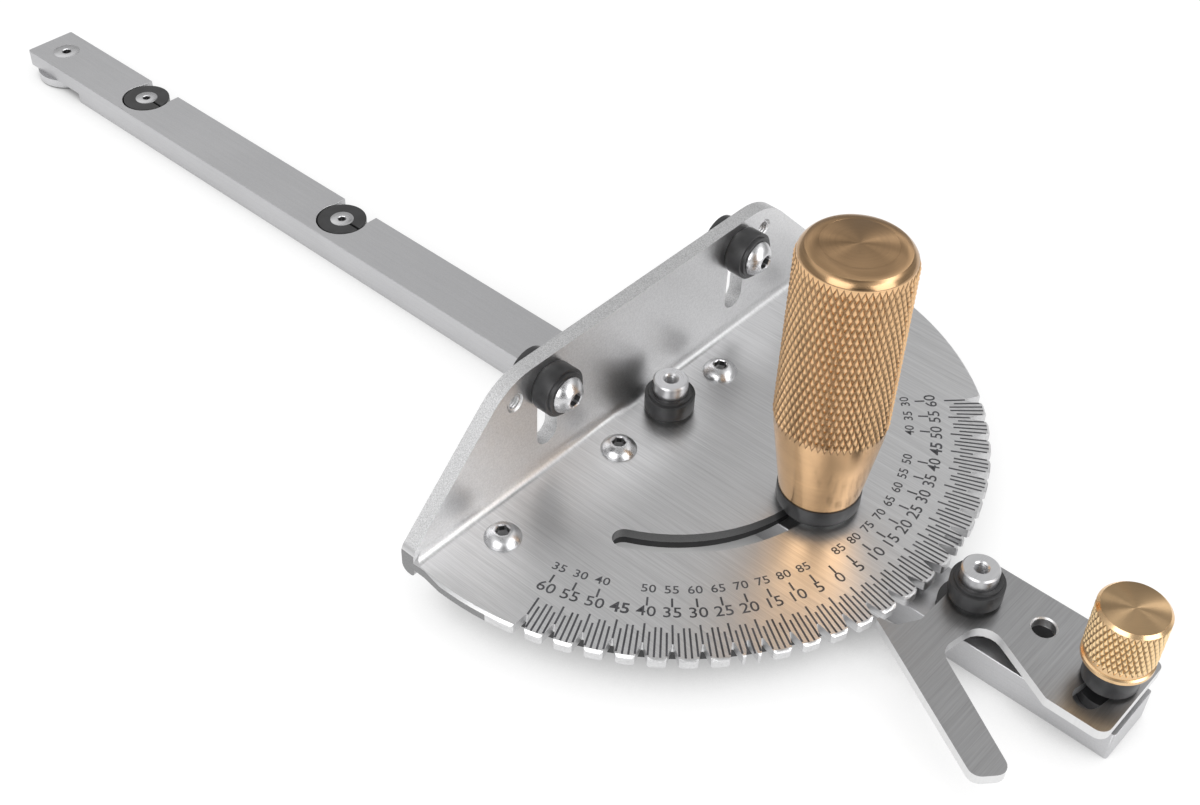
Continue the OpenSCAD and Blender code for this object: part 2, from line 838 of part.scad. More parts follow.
module head_plate() {
    color("silver")
        difference() {
            union() {
                rim_plate();
                flange();
            }
            translate([0, 0, plate_z])
                for (a = notch_angles)
                    rotate(a - scale_turn)
                        index_notch();
            translate([0, 0, plate_z - over])
                cylinder(h = plate_t + 2 * over, d = post_d + 2 * fit);
            translate([0, 0, plate_z - over])
                linear_extrude(plate_t + 2 * over)
                    ring_slot(arc_r, arc_w, arc_reach);
            for (x = plate_screw_xs)
                translate([x, -screw_row, plate_z - over])
                    cylinder(h = plate_t + 2 * over, d = plate_screw_d);
            for (side = [-1, 1]) {
                translate([side * slot_x, 0, 0])
                    along_y(flange_y - over, flange_back + over)
                        fence_slot();
                translate([side * tapped_x, flange_y - over, tapped_z])
                    rotate([-90, 0, 0])
                        cylinder(h = flange_t + 2 * over, d = tapped_d);
                translate([side * tapped_x, flange_y, tapped_z])
                    rotate([-90, 0, 0])
                        cylinder(h = (tapped_sink_d - tapped_d) / 2, d1 = tapped_sink_d, d2 = tapped_d);
            }
        }
}

module glide_sheet() {
    color("#262626")
        translate([0, 0, sheet_z])
            difference() {
                linear_extrude(sheet_t)
                    intersection() {
                        circle(r = sheet_r, $fn = 180);
                        translate([-rim_r, -rim_r])
                            square([2 * rim_r, rim_r + flange_y - sheet_gap]);
                    }
                translate([0, 0, -over])
                    cylinder(h = sheet_t + 2 * over, d = post_d + 2 * fit);
                translate([0, 0, -over])
                    linear_extrude(sheet_t + 2 * over)
                        ring_slot(arc_r, arc_w + 2 * arc_sheet_room, arc_reach);
                for (x = plate_screw_xs)
                    translate([x, -screw_row, -over])
                        cylinder(h = sheet_t + 2 * over, d = plate_screw_d);
            }
}

module plate_screws() {
    color("silver")
        for (x = plate_screw_xs)
            translate([x, -screw_row, plate_top])
                button_screw(plate_screw_d, plate_screw_head_d, plate_screw_head_h, plate_screw_len,
                    plate_screw_d * key_share);
}

// Places a fence clamp's piece on its bolt's axis, with -Z of the piece along +Y
module on_fence_bolt(side, y) {
    translate([side * slot_x, y, slot_high])
        rotate([90, 0, 0])
            children();
}

module fence_bolt(side) {
    color("silver")
        on_fence_bolt(side, flange_y - fence_spacer_len)
            button_screw(fence_bolt_d, fence_head_d, fence_head_h,
                fence_spacer_len + flange_t + fence_nut_t, fence_bolt_d * bolt_key_share);
}

module fence_spacer(side) {
    color("#262626")
        on_fence_bolt(side, flange_y)
            collar(collar_d, fence_spacer_len, fence_bolt_d, collar_step_d);
}

module fence_nut(side) {
    color("#262626")
        on_fence_bolt(side, flange_back + fence_nut_t)
            difference() {
                cylinder(h = fence_nut_t, d = collar_d);
                translate([0, 0, -over])
                    cylinder(h = fence_nut_t + 2 * over, d = fence_bolt_d);
            }
}

miter_bar();
slot_washer();
slot_washer_screw();
expansion_disc(disc_far_y);  // expansion_disc_far
expansion_disc(disc_mid_y);  // expansion_disc_mid
expansion_disc(-disc_near_y);  // expansion_disc_near
expansion_screw(disc_far_y);  // expansion_screw_far
expansion_screw(disc_mid_y);  // expansion_screw_mid
expansion_screw(-disc_near_y);  // expansion_screw_near
pivot_post();
post_collar(0);  // pivot_collar
index_post();
post_collar(index_y);  // index_collar
spacer_ring(index_y, index_washer_d, post_d);  // index_washer
handle_stud();
handle_washer();
handle();
knob_stud();
spacer_ring(knob_y, knob_washer_d, knob_stud_d);  // knob_washer
knob_spacer();
index_knob();
index_plate();
head_plate();
glide_sheet();
plate_screws();
fence_bolt(-1);  // fence_bolt_left
fence_bolt(1);  // fence_bolt_right
fence_spacer(-1);  // fence_spacer_left
fence_spacer(1);  // fence_spacer_right
fence_nut(-1);  // fence_nut_left
fence_nut(1);  // fence_nut_right
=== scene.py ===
import math

import bmesh
import bpy
from bpy.props import FloatProperty, FloatVectorProperty, IntProperty, PointerProperty
from mathutils import Matrix, Vector


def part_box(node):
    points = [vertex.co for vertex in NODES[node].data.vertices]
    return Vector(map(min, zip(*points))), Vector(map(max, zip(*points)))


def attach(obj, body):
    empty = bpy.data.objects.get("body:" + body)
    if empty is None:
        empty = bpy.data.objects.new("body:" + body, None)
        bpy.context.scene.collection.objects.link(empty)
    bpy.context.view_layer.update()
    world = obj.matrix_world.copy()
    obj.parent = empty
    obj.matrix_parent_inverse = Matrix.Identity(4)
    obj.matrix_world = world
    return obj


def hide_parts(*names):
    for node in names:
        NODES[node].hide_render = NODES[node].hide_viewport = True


bl_info = {
    "name": "Miter gauge looks",
    "version": (1, 0, 0),
    "blender": (4, 5, 0),
    "location": "3D View > Sidebar > Gauge",
    "description": "Dresses the miter gauge's solids: edges, knurls, scale, screws and finishes",
    "category": "Object",
}

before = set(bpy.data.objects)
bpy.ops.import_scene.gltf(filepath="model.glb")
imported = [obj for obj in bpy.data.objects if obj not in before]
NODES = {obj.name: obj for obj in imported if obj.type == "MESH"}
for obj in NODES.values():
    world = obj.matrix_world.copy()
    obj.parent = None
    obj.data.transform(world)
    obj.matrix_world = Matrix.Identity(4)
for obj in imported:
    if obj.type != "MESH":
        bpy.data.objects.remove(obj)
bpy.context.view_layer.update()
MM = 0.001
SMOOTH_ANGLE = math.radians(33)
TURNED = 128


# Places and sizes that come from the solids, in millimetres

def span(node):
    """Centre, half width and heights of a turned node that stands upright."""
    low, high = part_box(node)
    return {
        "x": (low.x + high.x) / 2 / MM, "y": (low.y + high.y) / 2 / MM, "r": (high.x - low.x) / 2 / MM,
        "low": low.z / MM, "high": high.z / MM,
    }


# The head plate and the index plate lie at the same heights
PLATE_LOW, PLATE_TOP = (span("index_plate")[key] for key in ("low", "high"))
BAR_TOP = span("glide_sheet")["low"]


# Nodes written as expressions

class Wire:
    """An output of a node; sums, products and comparisons of wires add Math nodes."""

    def __init__(self, net, socket):
        self.net = net
        self.socket = socket

    def __add__(self, other):
        return self.net.math("ADD", self, other)

    def __sub__(self, other):
        return self.net.math("SUBTRACT", self, other)

    def __rsub__(self, other):
        return self.net.math("SUBTRACT", other, self)

    def __mul__(self, other):
        return self.net.math("MULTIPLY", self, other)

    def __truediv__(self, other):
        return self.net.math("DIVIDE", self, other)

    def __rtruediv__(self, other):
        return self.net.math("DIVIDE", other, self)

    def __mod__(self, other):
        return self.net.math("FLOORED_MODULO", self, other)

    def __rmod__(self, other):
        return self.net.math("FLOORED_MODULO", other, self)

    def __pow__(self, other):
        return self.net.math("POWER", self, other)

    def __rpow__(self, other):
        return self.net.math("POWER", other, self)

    def __lt__(self, other):
        return self.net.math("LESS_THAN", self, other)

    def __gt__(self, other):
        return self.net.math("GREATER_THAN", self, other)

    __radd__ = __add__
    __rmul__ = __mul__


class Net:
    """One node tree of a material, the world or a Geometry Nodes modifier."""

    def __init__(self, tree):
        self.tree = tree

    def node(self, kind, settings=None, values=None, out=0):
        """Any node: its settings first, then the values or links of its sockets."""
        made = self.tree.nodes.new(kind)
        for name, value in (settings or {}).items():
            if name == "stops":
                stops = made.color_ramp.elements
                while len(stops) < len(value):
                    stops.new(1)
                for stop, (place, shade) in zip(stops, value):
                    stop.position = place
                    stop.color = (shade, shade, shade, 1) if isinstance(shade, float) else (*shade, 1)
            elif name == "items":
                while len(made.index_switch_items) < value:
                    made.index_switch_items.new()
            else:
                setattr(made, name, value)
        for key, value in (values or {}).items():
            socket = made.inputs[key]
            if isinstance(value, Wire):
                self.tree.links.new(value.socket, socket)
            else:
                socket.default_value = value
        return Wire(self, made.outputs[out]) if made.outputs else made

    def math(self, operation, a, b=0.0):
        return self.node("ShaderNodeMath", {"operation": operation}, {0: a, 1: b})

    def mix(self, factor, a, b):
        """Colour between a and b."""
        return self.node("ShaderNodeMix", {"data_type": "RGBA"}, {0: factor, 6: rgba(a), 7: rgba(b)}, 2)

    def vector(self, x=0.0, y=0.0, z=0.0):
        return self.node("ShaderNodeCombineXYZ", None, {0: x, 1: y, 2: z})

    def parts(self, vector):
        """The three numbers of a vector."""
        split = self.node("ShaderNodeSeparateXYZ", None, {0: vector})
        outputs = split.socket.node.outputs
        return [Wire(self, outputs[i]) for i in range(3)]

    def noise(self, place, size, detail=2.0, roughness=0.5, stretch=(1, 1, 1)):
        """Noise with features of a size in millimetres, longer where stretch is larger than 1."""
        scale = tuple(1 / (MM * size * s) for s in stretch)
        moved = self.node("ShaderNodeMapping", {"vector_type": "POINT"}, {"Vector": place, "Scale": scale})
        return self.node("ShaderNodeTexNoise", None, {
            "Vector": moved, "Scale": 1.0, "Detail": detail, "Roughness": roughness,
        })

    def ramp(self, value, *stops):
        """A number that runs between stops of place and level."""
        return self.node("ShaderNodeValToRGB", {"stops": stops}, {0: value})

    def bump(self, height, depth):
        """A normal that follows a height; depth is in millimetres."""
        return self.node("ShaderNodeBump", None, {"Strength": 1.0, "Distance": depth * MM, "Height": height})


def rgba(colour):
    return colour if isinstance(colour, Wire) else (*colour[:3], 1.0)


# Finishes

SMOOTHEST = 0.05


def new_material(name):
    """A material with its tree, and the place on the object."""
    material = bpy.data.materials.new(name)
    material.use_nodes = True
    material.node_tree.nodes.clear()
    net = Net(material.node_tree)
    place = net.node("ShaderNodeTexCoord", None, None, "Object")
    return material, net, place


def finish_material(net, **values):
    """Ends a material in one Principled shader."""
    named = {key.replace("_", " "): value for key, value in values.items()}
    shader = net.node("ShaderNodeBsdfPrincipled", None, named)
    net.node("ShaderNodeOutputMaterial", None, {"Surface": shader})


def lighter(colour, factor):
    """A colour made lighter, or darker by a factor below 1."""
    return [min(1.0, c * factor) for c in colour]


def scratches(net, place, size, along, stretch, detail, roughness):
    """Noise drawn out along one axis."""
    return net.noise(place, size, detail, roughness, [stretch if a == along else 1 for a in "xyz"])


def brushed_metal(name, colour, along, rough, streak, depth, speckle=0.0):
    """Metal brushed along one axis, with long fine scratches and a few wider ones.

    streak and speckle say how far scratches and grain change the colour; depth is in millimetres."""
    material, net, place = new_material(name)
    fine = scratches(net, place, 0.2, along, stretch=70, detail=3.0, roughness=0.6)
    wide = scratches(net, place, 0.6, along, stretch=60, detail=2.0, roughness=0.5)
    cloud = net.noise(place, 30.0)
    grain = net.noise(place, 0.32, roughness=0.7)
    lines = fine * 0.6 + wide * 0.4
    tone = 1 - streak * (lines - 0.5) * 2 - (cloud - 0.5) * 0.12 - (grain - 0.5) * speckle
    shade = net.mix(net.ramp(tone - 0.5, (0.0, 0.0), (1.0, 1.0)), lighter(colour, 0.6), lighter(colour, 1.4))
    smooth, dull = max(SMOOTHEST, rough - 0.07), rough + 0.09
    roughness = net.ramp(lines * 0.5 + cloud * 0.5, (0.25, smooth), (0.75, dull))
    normal = net.bump(lines + grain * speckle, depth)
    finish_material(net, Base_Color=shade, Metallic=1.0, Roughness=roughness, Normal=normal)
    return material


def turned_metal(name, colour, rough, ring, depth, sheen=0.0, node=None, painted_pit_shade=()):
    """Metal from the lathe, with fine rings round the axis of a node; sheen spreads its highlight across them.

    The last argument gives how far inside the node's radius a knurl's pits are dark, as painted shade, and how far
    it is bright, in millimetres."""
    material, net, place = new_material(name)
    axis = span(node) if node else {"x": 0, "y": 0}
    offset = (-axis["x"] * MM, -axis["y"] * MM, 0)
    local = net.node("ShaderNodeMapping", None, {"Vector": place, "Location": offset})
    x, y, z = net.parts(local)
    radius = net.math("SQRT", x * x + y * y)
    rings = net.noise(net.vector(radius, 0.0, z), ring, roughness=0.6)
    cloud = net.noise(place, 6.0)
    tone = net.ramp(rings * 0.6 + cloud * 0.4, (0.3, 0.0), (0.7, 1.0))
    shade = net.mix(tone, lighter(colour, 0.88), lighter(colour, 1.1))
    smooth, dull = max(SMOOTHEST, rough - 0.05), rough + 0.06
    roughness = net.ramp(rings * 0.5 + cloud * 0.5, (0.3, smooth), (0.7, dull))
    # Painted shade: a knurl's pits darken to about a fifth of the colour, and grow rougher, towards the core
    if painted_pit_shade:
        low, high = (axis["r"] - inside for inside in painted_pit_shade)
        outside_pit_shade = net.ramp((radius / MM - low) / (high - low), (0.0, 0.0), (1.0, 1.0))
        shade = net.mix(outside_pit_shade, lighter(colour, 0.22), shade)
        roughness = roughness + (1 - outside_pit_shade) * 0.1
    normal = net.bump(rings, depth)
    finish_material(net, Base_Color=shade, Metallic=1.0, Roughness=roughness, Normal=normal, Anisotropic=sheen)
    return material


def matt_black(name, colour, rough, grain, depth):
    """Black oxide or moulded plastic with a fine grain and faint scuffs."""
    material, net, place = new_material(name)
    fine = net.noise(place, grain, 3.0, 0.6)
    cloud = net.noise(place, 5.0)
    shade = net.mix(net.ramp(cloud, (0.35, 0.0), (0.65, 1.0)), lighter(colour, 0.8), lighter(colour, 1.5))
    roughness = net.ramp(cloud, (0.3, rough - 0.06), (0.7, rough + 0.08))
    finish_material(net, Base_Color=shade, Metallic=0.0, Roughness=roughness, Normal=net.bump(fine, depth))
    return material


# Meshes

MERGE = 2e-7
MERGE_SOLID = 2e-6
NEARLY_FLAT = math.radians(0.4)
STRAIGHT = math.radians(158)


def linked(name, data):
    """A new object in the scene."""
    made = bpy.data.objects.new(name, data)
    bpy.context.scene.collection.objects.link(made)
    return made


def place_mesh(name, mesh, material, body, nodes=()):
    """Makes a finished piece of a mesh in metres, gives it to a body and puts it in the place of its nodes."""
    made = linked(name, mesh)
    finishes = material if isinstance(material, list) else [material]
    marks = [min(polygon.material_index, len(finishes) - 1) for polygon in mesh.polygons]
    mesh.materials.clear()
    for one in finishes:
        mesh.materials.append(one)
    mesh.polygons.foreach_set("material_index", marks)
    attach(made, body)
    if nodes:
        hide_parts(*nodes)
    return made


def tidy_mesh(bm, name):
    """Merges doubles, points the faces outwards and shades the mesh smooth between its sharp edges."""
    bmesh.ops.remove_doubles(bm, verts=bm.verts, dist=MERGE)
    bmesh.ops.recalc_face_normals(bm, faces=bm.faces)
    return shaded_mesh(bm, name)


def shaded_mesh(bm, name):
    mesh = bpy.data.meshes.new(name)
    bm.to_mesh(mesh)
    bm.free()
    mesh.shade_smooth()
    mesh.set_sharp_from_angle(angle=SMOOTH_ANGLE)
    return mesh


def eased(points, size, steps=2, closed=False):
    """A profile with each of its corners rounded by size."""
    count = len(points)
    made = []
    for i, here in enumerate(points):
        if not closed and i in (0, count - 1):
            made.append(here)
            continue
        corner = Vector(here)
        back = Vector(points[i - 1]) - corner
        on = Vector(points[(i + 1) % count]) - corner
        if back.angle(on) > STRAIGHT:
            made.append(here)
            continue
        reach = min(size, back.length * 0.45, on.length * 0.45)
        start = corner + back.normalized() * reach
        end = corner + on.normalized() * reach
        for k in range(steps + 1):
            t = k / steps
            spot = start * (1 - t) ** 2 + corner * 2 * t * (1 - t) + end * t ** 2
            made.append((spot.x, spot.y))
    return made


def lathe(name, profile, x=0.0, y=0.0, segments=96, closed=False, turn=None):
    """Turns a profile of radius and height, in millimetres, about an upright axis at x and y."""
    bm = bmesh.new()
    rings = []
    for radius, height in profile:
        if radius < 1e-6:
            rings.append([bm.verts.new((0, 0, height * MM))] * segments)
            continue
        steps = [2 * math.pi * k / segments for k in range(segments)]
        rings.append([
            bm.verts.new((radius * math.cos(a) * MM, radius * math.sin(a) * MM, height * MM)) for a in steps
        ])
    pairs = list(zip(rings, rings[1:] + ([rings[0]] if closed else [])))
    for low, high in pairs:
        for k in range(segments):
            j = (k + 1) % segments
            corners = []
            for vert in (low[k], low[j], high[j], high[k]):
                if vert not in corners:
                    corners.append(vert)
            if len(corners) > 2:
                bm.faces.new(corners)
    if turn:
        bmesh.ops.transform(bm, matrix=turn, verts=bm.verts)
    bmesh.ops.translate(bm, vec=Vector((x, y, 0)) * MM, verts=bm.verts)
    return tidy_mesh(bm, name)


def edged_copy(node, name, width, angle, body, material):
    """A copy of a solid, in its place, whose edges sharper than an angle are broken by a width in metres."""
    bm = bmesh.new()
    bm.from_mesh(NODES[node].data)
    bmesh.ops.remove_doubles(bm, verts=bm.verts, dist=MERGE_SOLID)
    bmesh.ops.dissolve_limit(bm, angle_limit=NEARLY_FLAT, verts=bm.verts, edges=bm.edges)
    holder = linked(name + "_holder", shaded_mesh(bm, name))
    bevel = holder.modifiers.new("edges", "BEVEL")
    bevel.width = width
    bevel.segments = 2
    bevel.limit_method = "ANGLE"
    bevel.angle_limit = math.radians(angle)
    bevel.use_clamp_overlap = True
    normals = holder.modifiers.new("normals", "WEIGHTED_NORMAL")
    normals.mode = "FACE_AREA"
    normals.weight = 100
    normals.keep_sharp = True
    return place_mesh(name, evaluated_mesh(holder), material, body, [node])


def evaluated_mesh(holder):
    """The mesh of an object with its modifiers applied; the object itself goes."""
    bpy.context.view_layer.update()
    graph = bpy.context.evaluated_depsgraph_get()
    mesh = bpy.data.meshes.new_from_object(holder.evaluated_get(graph), depsgraph=graph)
    mesh.name = holder.name
    holder.modifiers.clear()
    bpy.data.objects.remove(holder)
    return mesh


# Geometry Nodes

def node_group(name, sizes):
    """A Geometry Nodes tree with named inputs; sizes maps a name to its default."""
    tree = bpy.data.node_groups.new(name, "GeometryNodeTree")
    for label, default in sizes.items():
        kind = "NodeSocketInt" if isinstance(default, int) else "NodeSocketFloat"
        tree.interface.new_socket(label, in_out="INPUT", socket_type=kind).default_value = default
    tree.interface.new_socket("Finish", in_out="INPUT", socket_type="NodeSocketMaterial")
    tree.interface.new_socket("Mesh", in_out="OUTPUT", socket_type="NodeSocketGeometry")
    net = Net(tree)
    inputs = tree.nodes.new("NodeGroupInput")
    sockets = {label: Wire(net, inputs.outputs[label]) for label in [*sizes, "Finish"]}
    return net, sockets


def end_group(net, mesh, material):
    """Every tree ends in real geometry with its material."""
    real = net.node("GeometryNodeRealizeInstances", None, {0: mesh})
    dressed = net.node("GeometryNodeSetMaterial", None, {"Geometry": real, "Material": material})
    net.node("NodeGroupOutput", None, {"Mesh": dressed})
    return net.tree


def grow(name, tree, material, **sizes):
    """Runs a tree with its sizes and gives its result as a plain mesh."""
    holder = linked(name, bpy.data.meshes.new(name))
    modifier = holder.modifiers.new(tree.name, "NODES")
    modifier.node_group = tree
    values = {key.replace("_", " "): value for key, value in sizes.items()}
    for item in tree.interface.items_tree:
        if item.in_out == "INPUT" and item.name in values:
            modifier[item.identifier] = values[item.name]
        elif item.in_out == "INPUT" and item.name == "Finish":
            modifier[item.identifier] = material
    bm = bmesh.new()
    bm.from_mesh(evaluated_mesh(holder))
    return tidy_mesh(bm, name)


def grow_screw(name, tree, **sizes):
    """A screw whose hexagon socket is marked for the second of its finishes, the darker steel that is painted shade
    in the socket.
    """
    mesh = grow(name, tree, finish("steel"), **sizes)
    key = sizes["Key"]
    top = 0 if tree.name == "flat_screw" else sizes["Head_height"]
    below, lip = top - sizes["Key_depth"] * 2, top - key * 0.1
    for polygon in mesh.polygons:
        x, y, z = polygon.center
        polygon.material_index = int(math.hypot(x, y) < key * 1.08 and below < z < lip)
    return mesh


def repeated(net, shape, count, position, rotation, scale=(1, 1, 1)):
    """Copies of a shape at count points, placed by fields that read the point's index."""
    points = net.node("GeometryNodePoints", None, {"Count": count, "Position": position})
    return net.node("GeometryNodeInstanceOnPoints", None, {
        "Points": points, "Instance": shape, "Rotation": rotation, "Scale": scale,
    })


def knurl_tree():
    """Raised diamonds in staggered rows round an upright cylinder, with their bases sunk in it."""
    net, size = node_group("knurl", {
        "Radius": 0.015, "Around": 60, "Rows": 38, "First height": 0.05, "Row step": 0.0014,
        "Depth": 0.0004, "Flat": 0.3, "Sink": 0.00005,
    })
    index = net.node("GeometryNodeInputIndex")
    column = index % size["Around"]
    row = net.math("FLOOR", index / size["Around"])
    angle = (column + (row % 2) * 0.5) / size["Around"] * (2 * math.pi)
    base = size["Radius"] - size["Depth"] - size["Sink"]
    height = size["First height"] + row * size["Row step"]
    position = net.vector(base * net.math("COSINE", angle), base * net.math("SINE", angle), height)
    cone = net.node("GeometryNodeMeshCone", {"fill_type": "NGON"}, {
        "Vertices": 4, "Radius Top": size["Flat"], "Radius Bottom": 1.0, "Depth": 1.0,
    })
    half = size["Radius"] / size["Around"] * math.pi
    shaped = net.node("GeometryNodeTransform", None, {
        "Geometry": cone, "Rotation": (math.pi / 2, 0, math.pi / 2),
        "Scale": net.vector(half, size["Row step"], size["Depth"] + size["Sink"]),
    })
    count = size["Around"] * size["Rows"]
    copies = repeated(net, shaped, count, position, net.vector(0.0, 0.0, angle))
    return end_group(net, copies, size["Finish"])


def marks_tree():
    """Radial lines round the pivot: major at each fifth degree, mid at the two half way, minor elsewhere."""
    net, size = node_group("marks", {
        "Count": 121, "Step": 1.0, "First": -60.0, "Turn": 14.2, "Width": 0.0005, "Height": 0.0159,
        "Major in": 0.0804, "Major out": 0.0866, "Mid in": 0.0814, "Minor in": 0.083, "Mid out": 0.091,
        "Minor out": 0.0905, "None at": 180.0,
    })
    index = net.node("GeometryNodeInputIndex")
    part = (index * size["Step"]) % 5
    major = part < 0.5
    mid = net.node("ShaderNodeMath", {"operation": "COMPARE"}, {0: part, 1: 2.5, 2: 0.9})
    minor = 1 - major - mid
    inner = major * size["Major in"] + mid * size["Mid in"] + minor * size["Minor in"]
    outer = major * size["Major out"] + mid * size["Mid out"] + minor * size["Minor out"]
    degrees = size["First"] + index * size["Step"]
    bare = net.math("ABSOLUTE", net.math("ABSOLUTE", degrees) - size["None at"]) < 0.5
    angle = (degrees - size["Turn"]) * (math.pi / 180)
    middle = (inner + outer) * 0.5
    position = net.vector(
        middle * net.math("SINE", angle), middle * net.math("COSINE", angle) * -1, size["Height"],
    )
    block = net.node("GeometryNodeMeshCube", None, {"Size": (1, 1, 1)})
    here = 1 - bare
    scale = net.vector(size["Width"] * here, (outer - inner) * here, here * 0.00004)
    copies = repeated(net, block, size["Count"], position, net.vector(0.0, 0.0, angle), scale)
    return end_group(net, copies, size["Finish"])


def screw_tree(name, flat):
    """A screw with a hexagon socket, upright with its seat at zero: button headed, or flat with a cone below.

    rows lists its profile from the tip to the socket's floor: radius, height, and 1 where it is hexagonal."""
    net, size = node_group(name, {
        "Head radius": 0.005, "Head height": 0.003, "Thread radius": 0.0025, "Length": 0.01,
        "Key": 0.0015, "Key depth": 0.0015, "Segments": 72,
    })
    head, height, thread = size["Head radius"], size["Head height"], size["Thread radius"]
    key, tip = size["Key"], size["Length"] * -1
    floor = height - size["Key depth"] if not flat else size["Key depth"] * -1
    top = 0.0 if flat else height
    soft = 0.00012
    rows = [(0.0, tip, 0), (thread * 0.8, tip, 0), (thread, tip + thread * 0.3, 0)]
    if flat:
        rim = 0.00025
        rows += [(thread, height * -1, 0), (head, -rim, 0), (head, -soft, 0), (head - soft * 0.4, -soft * 0.3, 0),
                 (head - soft, 0.0, 0)]
    else:
        rim = 0.0003
        rows += [(thread, 0.0, 0), (head - soft, 0.0, 0), (head, soft, 0), (head, rim, 0)]
        inner = head * 0.47
        dome_low, dome_high, dome_span, steps = 68, 22, 0.5526, 8
        for k in range(1, steps + 1):
            bend = math.radians(dome_low - (dome_low - dome_high) * k / steps)
            outward = (math.sin(bend) - math.sin(math.radians(dome_high))) / dome_span
            upward = (math.cos(bend) - math.cos(math.radians(dome_low))) / dome_span
            rows.append((inner + (head - inner) * outward, (height - rim) * upward + rim, 0))
    rows += [(key * 1.22, top, 0), (key * 1.17, top, 0.35), (key, top - key * 0.16, 1), (key, floor, 1),
             (key * 0.9, floor - key * 0.08, 1), (0.0, floor - key * 0.45, 0)]
    index = net.node("GeometryNodeInputIndex")
    columns = size["Segments"] + 1
    row = net.math("FLOOR", index / columns)
    angle = (index % columns) / size["Segments"] * (2 * math.pi)

    def pick(which):
        values = {0: row, **{i + 1: line[which] for i, line in enumerate(rows)}}
        return net.node("GeometryNodeIndexSwitch", {"data_type": "FLOAT", "items": len(rows)}, values)

    radius, level, square = pick(0), pick(1), pick(2)
    within = (angle % (math.pi / 3)) - math.pi / 6
    reach = 1 / net.math("COSINE", within)
    radius = radius * (1 + square * (reach - 1))
    position = net.vector(radius * net.math("COSINE", angle), radius * net.math("SINE", angle), level)
    grid = net.node("GeometryNodeMeshGrid", None, {"Vertices X": len(rows), "Vertices Y": columns})
    shaped = net.node("GeometryNodeSetPosition", None, {"Geometry": grid, "Position": position})
    closed = net.node("GeometryNodeMergeByDistance", None, {"Geometry": shaped, "Distance": 1e-6})
    return end_group(net, closed, size["Finish"])


# Settings

def length(name, description, default, **more):
    return FloatProperty(name=name, description=description, default=default, unit="LENGTH", precision=6, **more)


def shade(name, description, default):
    return FloatVectorProperty(name=name, description=description, default=default, subtype="COLOR", min=0, max=1)


class GaugeSizes(bpy.types.PropertyGroup):
    """Sizes of the details that only the looks have"""
    bar_edge: length("Bar edge", "Width of the broken edges of the bar's pockets and ends", 0.00016)
    plate_edge: length("Plate edge", "Width of the broken edges of the head plate", 0.00016)
    index_edge: length("Index plate edge", "Width of the broken edges of the index plate", 0.00018)
    disc_edge: length("Disc edge", "Width of the broken edges of the expansion discs", 0.0002)
    knurl_depth: length("Grip knurl depth", "Height of the diamonds on the handle", 0.00058)
    knurl_step: length("Grip knurl step", "Height from one row of diamonds to the next", 0.00222)
    knurl_around: IntProperty(name="Grip knurl count", description="Diamonds round the handle", default=55, min=20)
    knob_depth: length("Knob knurl depth", "Height of the diamonds on the index knob", 0.00048)
    knob_step: length("Knob knurl step", "Height from one row of diamonds to the next", 0.00185)
    knob_around: IntProperty(name="Knob knurl count", description="Diamonds round the knob", default=38, min=20)
    mark_width: length("Mark width", "Width of the scale's lines", 0.00055)
    number_size: length("Number size", "Height of the scale's numbers", 0.0033)
    thread_pitch: length("Thread pitch", "Pitch of the threads that show in tapped holes", 0.0008)


class GaugeColours(bpy.types.PropertyGroup):
    """Colours of the finishes"""
    bar: shade("Bar", "Satin aluminium of the bar", (0.58, 0.58, 0.59))
    plate: shade("Plate", "Brushed head plate", (0.66, 0.66, 0.665))
    # Index plate: darker than the head plate, painted shade standing for its dimmer reflection
    index: shade("Index plate", "Brushed index plate", (0.38, 0.38, 0.385))
    steel: shade("Steel", "Bright screws and posts", (0.62, 0.62, 0.63))
    gold: shade("Bronze", "Anodised handle", (0.6, 0.385, 0.21))
    brass: shade("Brass", "Anodised index knob", (0.8, 0.55, 0.31))
    black: shade("Black", "Collars, washers and discs", (0.022, 0.022, 0.023))
    ink: shade("Ink", "Scale marks and numbers", (0.045, 0.045, 0.05))


def sizes():
    return bpy.context.scene.gauge_sizes


def colours():
    return bpy.context.scene.gauge_colours


# Material, colour, factor on the colour, direction of the brushing, roughness, streak, depth, speckle
BRUSHED_FINISHES = {
    "bar": ("satin_bar", "bar", 1, "y", 0.46, 0.12, 0.004, 0.3),
    "plate": ("brushed_plate", "plate", 1, "y", 0.36, 0.5, 0.034),
    # The index plate's darker colour is painted shade
    "index": ("brushed_index_plate", "index", 1, "x", 0.32, 0.45, 0.018),
    # A darker copy of the plate's colour: painted shade on the arc slot's walls, and a darker tone on the flange's
    # end faces
    "cut": ("cut_edge", "plate", 0.42, "y", 0.45, 0.1, 0.004, 0.8),
    # Index plate's sides: a lighter copy of the plate's colour, a painted reflection of the bright floor
    "bright_edge": ("bright_edge", "plate", 1.25, "z", 0.4, 0.1, 0.004),
    "blasted": ("blasted_edge", "plate", 1, "y", 0.5, 0.05, 0.006, 1.6),
}
